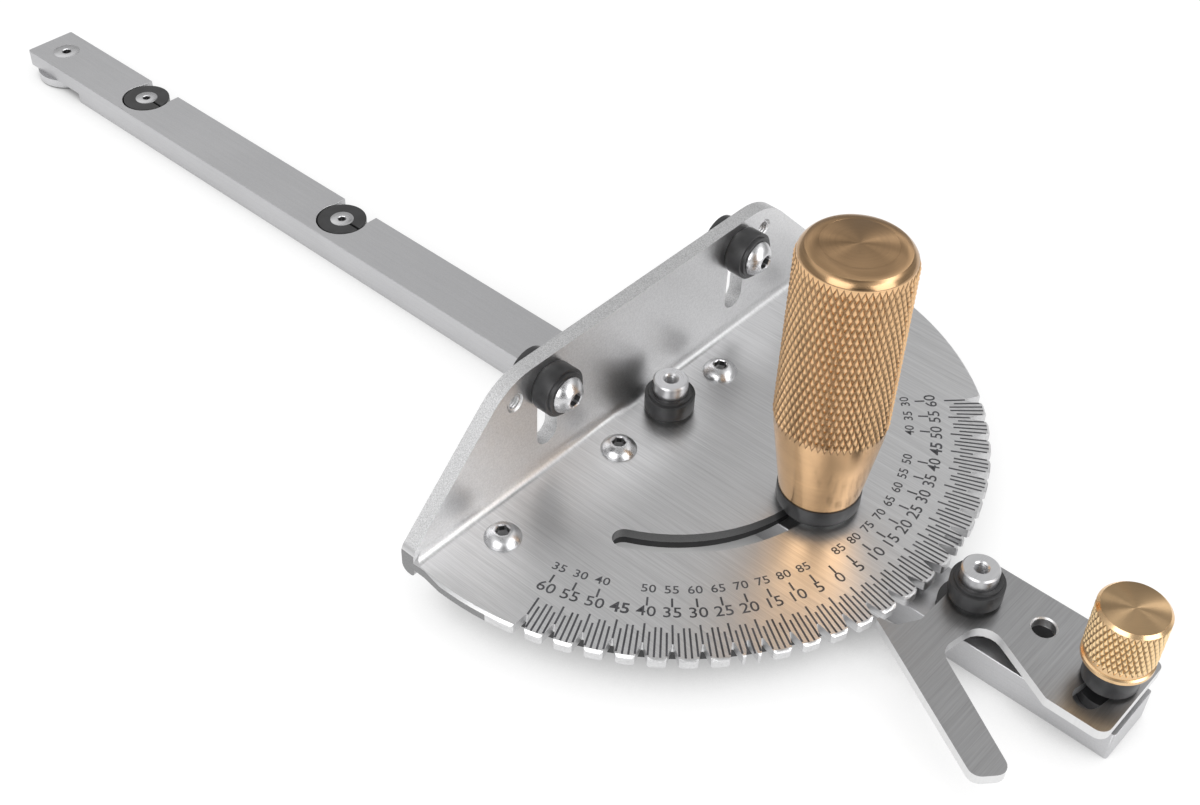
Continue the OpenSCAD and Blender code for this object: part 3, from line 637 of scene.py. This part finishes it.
# Material, colour, factor on the colour (above 1 painted light, below 1 painted shade), roughness, size of the
# rings, depth, sheen, node, painted shade of a knurl's pits
TURNED_FINISHES = {
    "steel": ("bright_steel", "steel", 1, 0.28, 0.3, 0.0008),
    # socket: the steel darkened to a third, painted shade inside the hexagon sockets
    "socket": ("steel_socket", "steel", 0.3, 0.4, 0.3, 0.0008),
    "post": ("satin_post", "steel", 1, 0.3, 0.15, 0.001),
    # Handle: copies of one bronze, the shoulder and face darker as painted shade, the cone and knurl lighter as
    # painted light
    "gold": ("bronze_turned", "gold", 0.74, 0.19, 0.5, 0.0004, 0.0, "handle"),
    "gold_cone_painted_light": ("bronze_cone", "gold", 1.3, 0.22, 0.5, 0.0003, 0.0, "handle"),
    "gold_top_painted_shade": ("bronze_face", "gold", 0.68, 0.4, 0.2, 0.0003, 0.95, "handle"),
    "gold_knurl_painted_light_and_shade": ("bronze_knurl", "gold", 1.32, 0.2, 0.5, 0.001, 0.0, "handle", (0.58, 0.22)),
    # Knob: copies of one brass, the face darker as painted shade, the knurl lighter as painted light
    "brass": ("brass_turned", "brass", 1, 0.2, 0.3, 0.0004, 0.0, "index_knob"),
    "brass_top_painted_shade": ("brass_face", "brass", 0.66, 0.45, 0.2, 0.0003, 0.97, "index_knob"),
    "brass_knurl": ("brass_knurl", "brass", 1.25, 0.2, 0.3, 0.001, 0.0, "index_knob", (0.48, 0.2)),
}
# Material, colour, factor on the colour, roughness, size of the grain, depth
MATT_FINISHES = {
    "black": ("black_fittings", "black", 1, 0.34, 0.3, 0.003),
    "sheet": ("glide_plastic", "black", 1, 0.5, 0.2, 0.01),
    "ink": ("scale_ink", "ink", 1, 0.55, 0.2, 0.001),
}
MADE = {}


def finish(name):
    """Materials are made once, when a piece first asks for them."""
    if name not in MADE:
        for maker, table in (
            (brushed_metal, BRUSHED_FINISHES), (turned_metal, TURNED_FINISHES), (matt_black, MATT_FINISHES),
        ):
            if name in table:
                label, colour, factor, *look = table[name]
                MADE[name] = maker(label, lighter(getattr(colours(), colour), factor), *look)
    return MADE[name]


def clothe(node, name):
    """Gives a solid that shows as it is its finish."""
    for holder in NODES[node].material_slots:
        holder.material = finish(name)


# Operators

class GAUGE_OT_stage(bpy.types.Operator):
    """Sets the floor, the soft lights, the white surround and the camera"""
    bl_idname = "gauge.stage"
    bl_label = "Stage"

    sensor = 36
    photo_width = 1200
    focal_pixels = 1650.2393600
    eye = (-277.768656, -211.179192, 337.682302)
    turn = (
        (0.667944572719291, 0.4908338201272487, -0.5594034400985888),
        (-0.743723644421584, 0.4674442035548747, -0.4778818444879719),
        (0.026929324223254947, 0.7352401495989188, 0.6772715363239756),
    )
    floor_half = 4.0
    floor_level = -5e-5
    aim = (0.0, -0.05, 0.1)
    softboxes = (
        ("left_softbox", (-1.05, -0.14, 0.66), 0.85, 0.9, 6.0),
        ("front_softbox", (-0.05, -1.18, 0.52), 0.8, 0.9, 6.4),
    )
    # Levels of what metal mirrors, by the height of the direction, and soft patches on it: direction,
    # narrowness and level
    sky = ((0.0, 0.4), (0.3, 0.36), (0.47, 0.42), (0.62, 0.95), (0.78, 0.9), (0.88, 0.5), (1.0, 0.5))
    sky_level = 1.22
    patches = (((0.3, -0.65, 0.7), 40, 3.4), ((0.59, 0.43, 0.685), 70, -1.1), ((-0.56, -0.48, 0.68), 9, -0.6))

    def execute(self, context):
        scene = context.scene
        scene.view_settings.view_transform = "Standard"
        self.camera(scene)
        self.floor()
        self.lights()
        self.surround(scene)
        return {"FINISHED"}

    def camera(self, scene):
        data = bpy.data.cameras.new("camera")
        data.sensor_width = self.sensor
        data.lens = self.sensor * self.focal_pixels / self.photo_width
        data.clip_start = 0.01
        camera = linked("camera", data)
        camera.matrix_world = Matrix.Translation(Vector(self.eye) * MM) @ Matrix(self.turn).to_4x4()
        scene.camera = camera

    def floor(self):
        half, level = self.floor_half, self.floor_level
        mesh = bpy.data.meshes.new("floor")
        corners = [(-half, -half, level), (half, -half, level), (half, half, level), (-half, half, level)]
        mesh.from_pydata(corners, [], [(0, 1, 2, 3)])
        material = bpy.data.materials.new("white_floor")
        material.use_nodes = True
        material.node_tree.nodes.clear()
        net = Net(material.node_tree)
        plain = net.node("ShaderNodeBsdfDiffuse", None, {"Color": (0.8, 0.8, 0.8, 1)})
        pale = net.node("ShaderNodeBsdfDiffuse", None, {"Color": (0.3, 0.3, 0.3, 1)})
        # Painted shadow: the floor's glow for seen rays fades with ambient occlusion, darkening the floor under and
        # beside the gauge
        painted_shadow_ao = net.node("ShaderNodeAmbientOcclusion", {"samples": 16}, {"Distance": 0.018}, "AO")
        glow_with_painted_shadow = net.ramp(painted_shadow_ao, (0.1, 0.0), (0.6, 0.66), (0.9, 0.76))
        lift = net.node("ShaderNodeEmission", None, {"Color": (1, 1, 1, 1), "Strength": glow_with_painted_shadow})
        lifted = net.node("ShaderNodeAddShader", None, {0: pale, 1: lift})
        both = net.node("ShaderNodeMixShader", None, {0: seen_rays(net), 1: plain, 2: lifted})
        net.node("ShaderNodeOutputMaterial", None, {"Surface": both})
        mesh.materials.append(material)
        linked("floor", mesh)

    def lights(self):
        for name, place, width, depth, power in self.softboxes:
            data = bpy.data.lights.new(name, "AREA")
            data.shape = "RECTANGLE"
            data.size, data.size_y = width, depth
            data.energy = power
            lamp = linked(name, data)
            lamp.location = place
            lamp.rotation_euler = (Vector(self.aim) - Vector(place)).to_track_quat("-Z", "Y").to_euler()

    def surround(self, scene):
        world = bpy.data.worlds.new("surround")
        scene.world = world
        world.use_nodes = True
        world.node_tree.nodes.clear()
        net = Net(world.node_tree)
        place = net.node("ShaderNodeTexCoord", None, None, "Generated")
        level = net.ramp(net.parts(place)[2], *self.sky) * self.sky_level
        for towards, narrow, strength in self.patches:
            level = level + self.patch(net, place, towards, narrow, strength)
        camera = net.node("ShaderNodeLightPath", None, None, "Is Camera Ray")
        level = level + (1 - level) * camera
        light = net.node("ShaderNodeBackground", None, {"Color": (1, 1, 1, 1), "Strength": 0.75})
        shown = net.node("ShaderNodeBackground", None, {"Color": level, "Strength": 1.0})
        both = net.node("ShaderNodeMixShader", None, {0: seen_rays(net), 1: light, 2: shown})
        net.node("ShaderNodeOutputWorld", None, {"Surface": both})

    def patch(self, net, place, towards, narrow, level):
        """A soft round patch of the surround, strongest in one direction."""
        aim = net.node("ShaderNodeVectorMath", {"operation": "NORMALIZE"}, {0: towards})
        along = net.node("ShaderNodeVectorMath", {"operation": "DOT_PRODUCT"}, {0: place, 1: aim}, "Value")
        return net.math("MAXIMUM", along, 0.0) ** narrow * level


def seen_rays(net):
    """1 for what the camera, a reflection or a clear material sees."""
    path = net.node("ShaderNodeLightPath")
    outputs = path.socket.node.outputs
    rays = [Wire(net, outputs[name]) for name in ("Is Camera Ray", "Is Glossy Ray", "Is Transmission Ray")]
    return net.math("MAXIMUM", rays[0], net.math("MAXIMUM", rays[1], rays[2]))


class GAUGE_OT_bar(bpy.types.Operator):
    """Dresses the bar and its slot washer, the studs and the index plate's washers"""
    bl_idname = "gauge.bar"
    bl_label = "Bar"

    def execute(self, context):
        edged_copy("miter_bar", "bar", sizes().bar_edge, 60, "bar", finish("bar"))
        clothe("slot_washer", "steel")
        for node in ("handle_stud", "knob_stud"):
            clothe(node, "steel")
        for node in ("index_washer", "knob_washer"):
            clothe(node, "black")
        return {"FINISHED"}


class GAUGE_OT_discs(bpy.types.Operator):
    """Dresses the expansion discs"""
    bl_idname = "gauge.discs"
    bl_label = "Expansion discs"

    def execute(self, context):
        for place in ("far", "mid", "near"):
            edged_copy("expansion_disc_" + place, "disc_" + place, sizes().disc_edge, 60, "bar",
                       finish("black"))
        return {"FINISHED"}


class GAUGE_OT_plate(bpy.types.Operator):
    """Dresses the head plate with its flange, and the glide sheet"""
    bl_idname = "gauge.plate"
    bl_label = "Head plate"

    slot_low, slot_high = 46, 60
    flange_end = 90.5
    above_fillet = 4

    def execute(self, context):
        made = edged_copy("head_plate", "protractor", sizes().plate_edge, 50, "head",
                          [finish("plate"), finish("blasted"), finish("cut")])
        for face in made.data.polygons:
            x, y, z = face.center / MM
            across, along, up = (abs(part) for part in face.normal)
            in_slot = self.slot_low < math.hypot(x, y) < self.slot_high and PLATE_LOW < z < PLATE_TOP - 0.2
            # The arc slot's walls take the darker copy as painted shade; the flange's end faces take it too
            if in_slot and up < 0.3 or abs(x) > self.flange_end and across > 0.97:
                face.material_index = 2
            elif z > PLATE_TOP + self.above_fillet and along < 0.8:
                face.material_index = 1
        clothe("glide_sheet", "sheet")
        return {"FINISHED"}


class GAUGE_OT_scale(bpy.types.Operator):
    """Draws the scale's lines and numbers on the plate"""
    bl_idname = "gauge.scale"
    bl_label = "Scale"

    turn = 14.2
    outer_r = 76.5
    inner_r = 68.9
    bold_at = 45
    # Numbers of the inner row that aren't 90 less the angle
    crossed = {-60: 35, -55: 30, -50: 40, 50: 40, 55: 35, 60: 30}
    inner_share = 0.78
    font_share = 1.38
    stretch = (1.14, 1.04, 1, 1)

    def execute(self, context):
        tree = marks_tree()
        width = sizes().mark_width
        lines = grow("scale_lines", tree, finish("ink"), Width=width, Height=PLATE_TOP * MM, Turn=self.turn)
        place_mesh("scale_lines", lines, finish("ink"), "head")
        short = grow("scale_dashes", tree, finish("ink"), Width=width, Height=PLATE_TOP * MM, Turn=self.turn,
                     Count=25, Step=5.0, Major_in=0.0717, Major_out=0.0746, None_at=45.0)
        place_mesh("scale_dashes", short, finish("ink"), "head")
        self.numbers()
        return {"FINISHED"}

    def numbers(self):
        bm = bmesh.new()
        tall = sizes().number_size / MM
        for angle in range(-60, 61, 5):
            bold = abs(angle) == self.bold_at
            self.label(bm, str(abs(angle)), angle, self.outer_r, tall, bold)
            if angle and not bold:
                value = self.crossed.get(angle, 90 - abs(angle))
                self.label(bm, str(value), angle, self.inner_r, tall * self.inner_share)
        mesh = tidy_mesh(bm, "scale_numbers")
        place_mesh("scale_numbers", mesh, finish("ink"), "head")

    def label(self, bm, words, angle, radius, tall, bold=False):
        """One number, its middle at an angle and radius, with its foot towards the rim."""
        curve = bpy.data.curves.new("label", "FONT")
        curve.body = words
        curve.align_x = "CENTER"
        curve.align_y = "CENTER"
        curve.size = tall * self.font_share * MM
        curve.extrude = 0.00002
        curve.resolution_u = 3
        curve.offset = 0.00009 if bold else 0.00003
        curve.space_character = 1.02
        mesh = evaluated_mesh(linked("label", curve))
        a = math.radians(angle - self.turn)
        spot = Vector((radius * math.sin(a), -radius * math.cos(a), PLATE_TOP)) * MM
        mesh.transform(Matrix.Translation(spot) @ Matrix.Rotation(a, 4, "Z") @ Matrix.Diagonal(self.stretch))
        bm.from_mesh(mesh)
        bpy.data.meshes.remove(mesh)


class GAUGE_OT_posts(bpy.types.Operator):
    """Turns the pivot post and the index post, with their threads and black collars"""
    bl_idname = "gauge.posts"
    bl_label = "Posts"

    spigot_r = 4
    edge = 0.4
    bore, mouth = 1.8, 2.25
    thread_depth, hole_depth = 8.6, 9

    def execute(self, context):
        for name in ("pivot", "index"):
            x, y, r, low, high = span(name + "_post").values()
            edge, bore = self.edge, self.bore
            profile = [(0, low), (self.spigot_r, low), (self.spigot_r, BAR_TOP), (r, BAR_TOP)]
            profile += [(r, high - edge), (r - edge, high), (self.mouth, high)]
            profile += threaded(bore, high - edge, high - self.thread_depth, sizes().thread_pitch / MM)
            profile += [(0, high - self.hole_depth)]
            mesh = lathe(name + "_pin", profile, x, y)
            place_mesh(name + "_pin", mesh, finish("post"), "bar", [name + "_post"])
            ring = span(name + "_collar")
            mesh = lathe(name + "_ring", collar_profile(ring, r), ring["x"], ring["y"], closed=True)
            place_mesh(name + "_ring", mesh, finish("black"), "bar", [name + "_collar"])
        return {"FINISHED"}


def collar_profile(ring, bore):
    """The stepped black collar, with its edges eased."""
    step_r = 6.3
    low, high, r = ring["low"], ring["high"], ring["r"]
    wide_low, wide_high = low + 1.2, high - 0.9
    return eased([
        (bore, low), (step_r, low), (step_r, wide_low), (r, wide_low), (r, wide_high), (step_r, wide_high),
        (step_r, high), (bore, high),
    ], 0.16, closed=True)


def threaded(bore, high, low, pitch, depth=0.22):
    """Profile of a thread's ridges down a hole's wall, from high to low."""
    points = []
    level = high
    while level - pitch > low:
        points += [(bore, level), (bore + depth, level - pitch * 0.5)]
        level -= pitch
    return points + [(bore, level), (bore, low)]


def knurl(name, look, x, y, r, high, rows, **more):
    """A knurl's diamonds on a grip of radius r, in rows down from high."""
    first = high * MM - more["Row_step"] * rows
    mesh = grow(name, knurl_tree(), finish(look), Radius=r * MM, Rows=rows, First_height=first, **more)
    mesh.transform(Matrix.Translation(Vector((x, y, 0)) * MM))
    return mesh


class GAUGE_OT_handle(bpy.types.Operator):
    """Turns the clamp handle with its knurled grip, and the washer under it"""
    bl_idname = "gauge.handle"
    bl_label = "Handle"

    grip_low = 48.0
    edge = 5.6
    bore, bore_depth = 3.05, 23
    foot_r, foot_edge = 11.25, 0.25
    face_depth, face_line = 0.3, 0.02
    # Faces that look up more steeply than this take the darker bronze, painted shade
    face_slope = 0.78
    shoulder = 2

    def execute(self, context):
        x, y, r, low, top = span("handle").values()
        depth = sizes().knurl_depth / MM
        edge, bore, foot = self.edge, self.bore, self.foot_r
        core, face, line = r - depth, r - edge, self.face_line
        inside, sunk = low + self.bore_depth, top - self.face_depth
        start = math.acos(1 - depth / edge)
        grip_high = top - edge + edge * math.sin(start)
        runout = self.grip_low - depth * (self.grip_low - low) / (r - foot)
        profile = [(0, inside), (bore, inside), (bore, low), (foot - self.foot_edge, low)]
        profile += [(foot, low + self.foot_edge), (core, runout), (core, grip_high)]
        steps = 12
        for k in range(steps):
            bend = start + (math.pi / 2 - start) * k / steps
            profile.append((face + edge * math.cos(bend), top - edge + edge * math.sin(bend)))
        profile += [(face + line, top), (face, top - line), (face, sunk), (0, sunk)]
        mesh = lathe("handle_body", profile, x, y, TURNED)
        # The body takes copies of the bronze by where its faces are and face: the cone lighter as painted light,
        # the shoulder and the faces that look up darker as painted shade
        body = [finish("gold"), finish("gold_cone_painted_light"), finish("gold_top_painted_shade")]
        place_mesh("handle_body", mesh, body, "handle_grip", ["handle"])
        for polygon in mesh.polygons:
            if polygon.center.z < (grip_high - self.shoulder) * MM:
                polygon.material_index = 1
            elif polygon.normal.z > self.face_slope:
                polygon.material_index = 2
        # The face takes the darker copy of the bronze, painted shade
        cap = eased([(0, sunk), (face, sunk), (face, top), (0, top)], line)
        mesh = lathe("handle_face", cap, x, y, TURNED)
        place_mesh("handle_face", mesh, finish("gold_top_painted_shade"), "handle_grip")
        # The knurl takes a lighter copy of the bronze, painted light, with its pits darkened as painted shade
        rows = int((grip_high - self.grip_low) / (sizes().knurl_step / MM))
        mesh = knurl("handle_knurl", "gold_knurl_painted_light_and_shade", x, y, r, grip_high, rows, Around=sizes().knurl_around,
                     Row_step=sizes().knurl_step, Depth=sizes().knurl_depth, Flat=0.16)
        place_mesh("handle_knurl", mesh, finish("gold_knurl_painted_light_and_shade"), "handle_grip")
        self.washer()
        return {"FINISHED"}

    def washer(self):
        ring = span("handle_washer")
        low, high, r = ring["low"], ring["high"], ring["r"]
        foot_r, step = r - 1, low + 1.7
        profile = eased([(self.bore, low), (foot_r, low), (foot_r, step), (r, step), (r, high), (self.bore, high)],
                        0.22, closed=True)
        mesh = lathe("handle_ring", profile, ring["x"], ring["y"], closed=True)
        place_mesh("handle_ring", mesh, finish("black"), "handle_thrust", ["handle_washer"])


class GAUGE_OT_index(bpy.types.Operator):
    """Dresses the index plate and turns its lock knob and spacer"""
    bl_idname = "gauge.index"
    bl_label = "Index plate and knob"

    bevel, face_depth, face_line = 0.85, 0.25, 0.03
    bore, bore_depth = 2.55, 15
    smooth_foot = 1.9

    def execute(self, context):
        lever = edged_copy("index_plate", "index_lever_plate", sizes().index_edge, 50, "index_lever",
                           [finish("index"), finish("bright_edge")])
        # Faces that don't look up or down take the lighter copy, a painted reflection
        for polygon in lever.data.polygons:
            polygon.material_index = int(abs(polygon.normal.z) < 0.9)
        x, y, r, low, top = span("index_knob").values()
        bore, line = self.bore, self.face_line
        core, face = r - sizes().knob_depth / MM, r - self.bevel
        knurl_low, knurl_high = low + self.smooth_foot, top - self.bevel
        inside, sunk = low + self.bore_depth, top - self.face_depth
        profile = [(0, inside), (bore, inside), (bore, low), (r - 0.75, low), (r - 0.1, low + 0.6), (r, low + 0.75)]
        profile += [(r, knurl_low - 0.15), (core, knurl_low + 0.2), (core, knurl_high - 0.05)]
        profile += [(r - line, knurl_high), (face + line, top - 0.01), (face, top - line), (face, sunk), (0, sunk)]
        mesh = lathe("knob_body", profile, x, y, TURNED)
        place_mesh("knob_body", mesh, finish("brass"), "knob_grip", ["index_knob"])
        # The face takes the darker copy of the brass, painted shade
        cap = eased([(0, sunk), (face, sunk), (face, top), (0, top)], 0.02)
        mesh = lathe("knob_face", cap, x, y, TURNED)
        place_mesh("knob_face", mesh, finish("brass_top_painted_shade"), "knob_grip")
        # The knurl takes a lighter copy of the brass, painted light, with its pits darkened as painted shade
        rows = int((knurl_high - knurl_low) / (sizes().knob_step / MM)) - 1
        mesh = knurl("knob_knurl", "brass_knurl", x, y, r, knurl_high, rows, Around=sizes().knob_around,
                     Row_step=sizes().knob_step, Depth=sizes().knob_depth, Flat=0.3)
        place_mesh("knob_knurl", mesh, finish("brass_knurl"), "knob_grip")
        self.spacer()
        return {"FINISHED"}

    def spacer(self):
        ring = span("knob_spacer")
        low, high, r = ring["low"], ring["high"], ring["r"]
        boss_r, foot_r, step = 3.4, r - 1, PLATE_TOP + 1
        profile = eased([(self.bore, low), (boss_r, low), (boss_r, PLATE_TOP), (foot_r, PLATE_TOP), (foot_r, step),
                         (r, step), (r, high), (self.bore, high)], 0.18, closed=True)
        mesh = lathe("knob_ring", profile, ring["x"], ring["y"], closed=True)
        place_mesh("knob_ring", mesh, finish("black"), "knob_thrust", ["knob_spacer"])


class GAUGE_OT_screws(bpy.types.Operator):
    """Makes the button head screws, the fence bolts and the countersunk screws"""
    bl_idname = "gauge.screws"
    bl_label = "Screws"

    plate_screw_places = (-0.0687, -0.0225, 0.0225, 0.0687)
    twist = 40
    # Solid, body, thread's radius and key's half width of each countersunk screw
    countersunk = (
        ("expansion_screw_far", "disc_adjuster_far", 0.002, 0.00124),
        ("expansion_screw_mid", "disc_adjuster_mid", 0.002, 0.00124),
        ("expansion_screw_near", "disc_adjuster_near", 0.002, 0.00124),
        ("slot_washer_screw", "bar", 0.0025, 0.0015),
    )

    def execute(self, context):
        button, flat = screw_tree("button_screw", False), screw_tree("flat_screw", True)
        low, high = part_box("plate_screws")
        y, seat = (low.y + high.y) / 2, PLATE_TOP * MM
        one = grow_screw("plate_screw", button, Head_radius=(high.y - low.y) / 2 + 0.0002,
                         Head_height=high.z - seat, Thread_radius=0.0025, Length=seat - low.z, Key=0.00175,
                         Key_depth=0.0019)
        bm = bmesh.new()
        for x in self.plate_screw_places:
            copy = one.copy()
            copy.transform(Matrix.Translation((x, y, seat)) @ Matrix.Rotation(x * self.twist, 4, "Z"))
            bm.from_mesh(copy)
            bpy.data.meshes.remove(copy)
        # The sockets take the darker steel, painted shade
        steel = [finish("steel"), finish("socket")]
        place_mesh("plate_button_screws", tidy_mesh(bm, "plate_button_screws"), steel, "head",
                   ["plate_screws"])
        for side in ("left", "right"):
            low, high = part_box("fence_bolt_" + side)
            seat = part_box("fence_spacer_" + side)[0].y
            bolt = grow_screw("fence_screw_" + side, button, Head_radius=(high.x - low.x) / 2,
                              Head_height=seat - low.y, Thread_radius=0.003, Length=high.y - seat, Key=0.0019,
                              Key_depth=0.002)
            middle = (low + high) / 2
            bolt.transform(Matrix.Translation((middle.x, seat, middle.z)) @ Matrix.Rotation(math.pi / 2, 4, "X"))
            place_mesh("fence_screw_" + side, bolt, steel, "fence_clamp_" + side,
                       ["fence_bolt_" + side])
        for node, body, thread, key in self.countersunk:
            low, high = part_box(node)
            r = (high.x - low.x) / 2
            screw = grow_screw(node + "_hex", flat, Head_radius=r, Head_height=r - thread, Thread_radius=thread,
                               Length=high.z - low.z, Key=key, Key_depth=(r - thread) * 0.9)
            screw.transform(Matrix.Translation(((low.x + high.x) / 2, (low.y + high.y) / 2, high.z)))
            place_mesh(node + "_hex", screw, steel, body, [node])
        return {"FINISHED"}


class GAUGE_OT_fence(bpy.types.Operator):
    """Turns the fence clamps' spacers and nuts"""
    bl_idname = "gauge.fence"
    bl_label = "Fence clamps"

    bore = 3.0
    tapped_hole = (52.7, 14.5, 46.6)

    def execute(self, context):
        for side in ("left", "right"):
            low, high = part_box("fence_spacer_" + side)
            nut_low, nut_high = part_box("fence_nut_" + side)
            x, z, r = (low.x + high.x) / 2, (low.z + high.z) / 2, (high.x - low.x) / 2 / MM
            flat = Matrix.Rotation(math.pi / 2, 4, "X")
            ring = {"low": 0.0, "high": (high.y - low.y) / MM, "r": r}
            mesh = lathe("fence_ring_" + side, collar_profile(ring, self.bore), closed=True, turn=flat)
            mesh.transform(Matrix.Translation((x, high.y, z)))
            place_mesh("fence_ring_" + side, mesh, finish("black"), "fence_clamp_" + side,
                       ["fence_spacer_" + side])
            thick = (nut_high.y - nut_low.y) / MM
            profile = eased([(self.bore, 0), (r, 0), (r, thick), (self.bore, thick)], 0.3, closed=True)
            mesh = lathe("fence_round_nut_" + side, profile, closed=True, turn=flat)
            mesh.transform(Matrix.Translation((x, nut_high.y, z)))
            place_mesh("fence_round_nut_" + side, mesh, finish("black"), "fence_clamp_" + side,
                       ["fence_nut_" + side])
            self.thread(side, flat)
        return {"FINISHED"}

    def thread(self, side, flat):
        """The ridges of the thread in the tapped hole beside a fence bolt."""
        x, y, z = self.tapped_hole
        x = -x if side == "left" else x
        bore, outer, low, high = 1.95, 2.3, 0.4, 4.1
        profile = threaded(bore, high, low, sizes().thread_pitch / MM, 0.25) + [(outer, low), (outer, high)]
        mesh = lathe("flange_thread_" + side, profile, closed=True, turn=flat)
        mesh.transform(Matrix.Translation(Vector((x, y, z)) * MM))
        place_mesh("flange_thread_" + side, mesh, finish("plate"), "head")


STEPS = (
    GAUGE_OT_stage, GAUGE_OT_bar, GAUGE_OT_discs, GAUGE_OT_plate, GAUGE_OT_scale, GAUGE_OT_posts, GAUGE_OT_handle,
    GAUGE_OT_index, GAUGE_OT_screws, GAUGE_OT_fence,
)


class GAUGE_PT_panel(bpy.types.Panel):
    """Lists the gauge's settings and steps"""
    bl_idname = "GAUGE_PT_panel"
    bl_label = "Miter gauge"
    bl_space_type = "VIEW_3D"
    bl_region_type = "UI"
    bl_category = "Gauge"

    def draw(self, context):
        for group in (context.scene.gauge_sizes, context.scene.gauge_colours):
            for name in group.bl_rna.properties.keys():
                if name not in ("rna_type", "name"):
                    self.layout.prop(group, name)
        for step in STEPS:
            self.layout.operator(step.bl_idname)


CLASSES = (GaugeSizes, GaugeColours, *STEPS, GAUGE_PT_panel)


def register():
    for one in CLASSES:
        bpy.utils.register_class(one)
    bpy.types.Scene.gauge_sizes = PointerProperty(type=GaugeSizes)
    bpy.types.Scene.gauge_colours = PointerProperty(type=GaugeColours)


def unregister():
    del bpy.types.Scene.gauge_sizes
    del bpy.types.Scene.gauge_colours
    for one in reversed(CLASSES):
        bpy.utils.unregister_class(one)


def main():
    register()
    for step in STEPS:
        group, name = step.bl_idname.split(".")
        getattr(getattr(bpy.ops, group), name)()


if __name__ == "__main__":
    main()
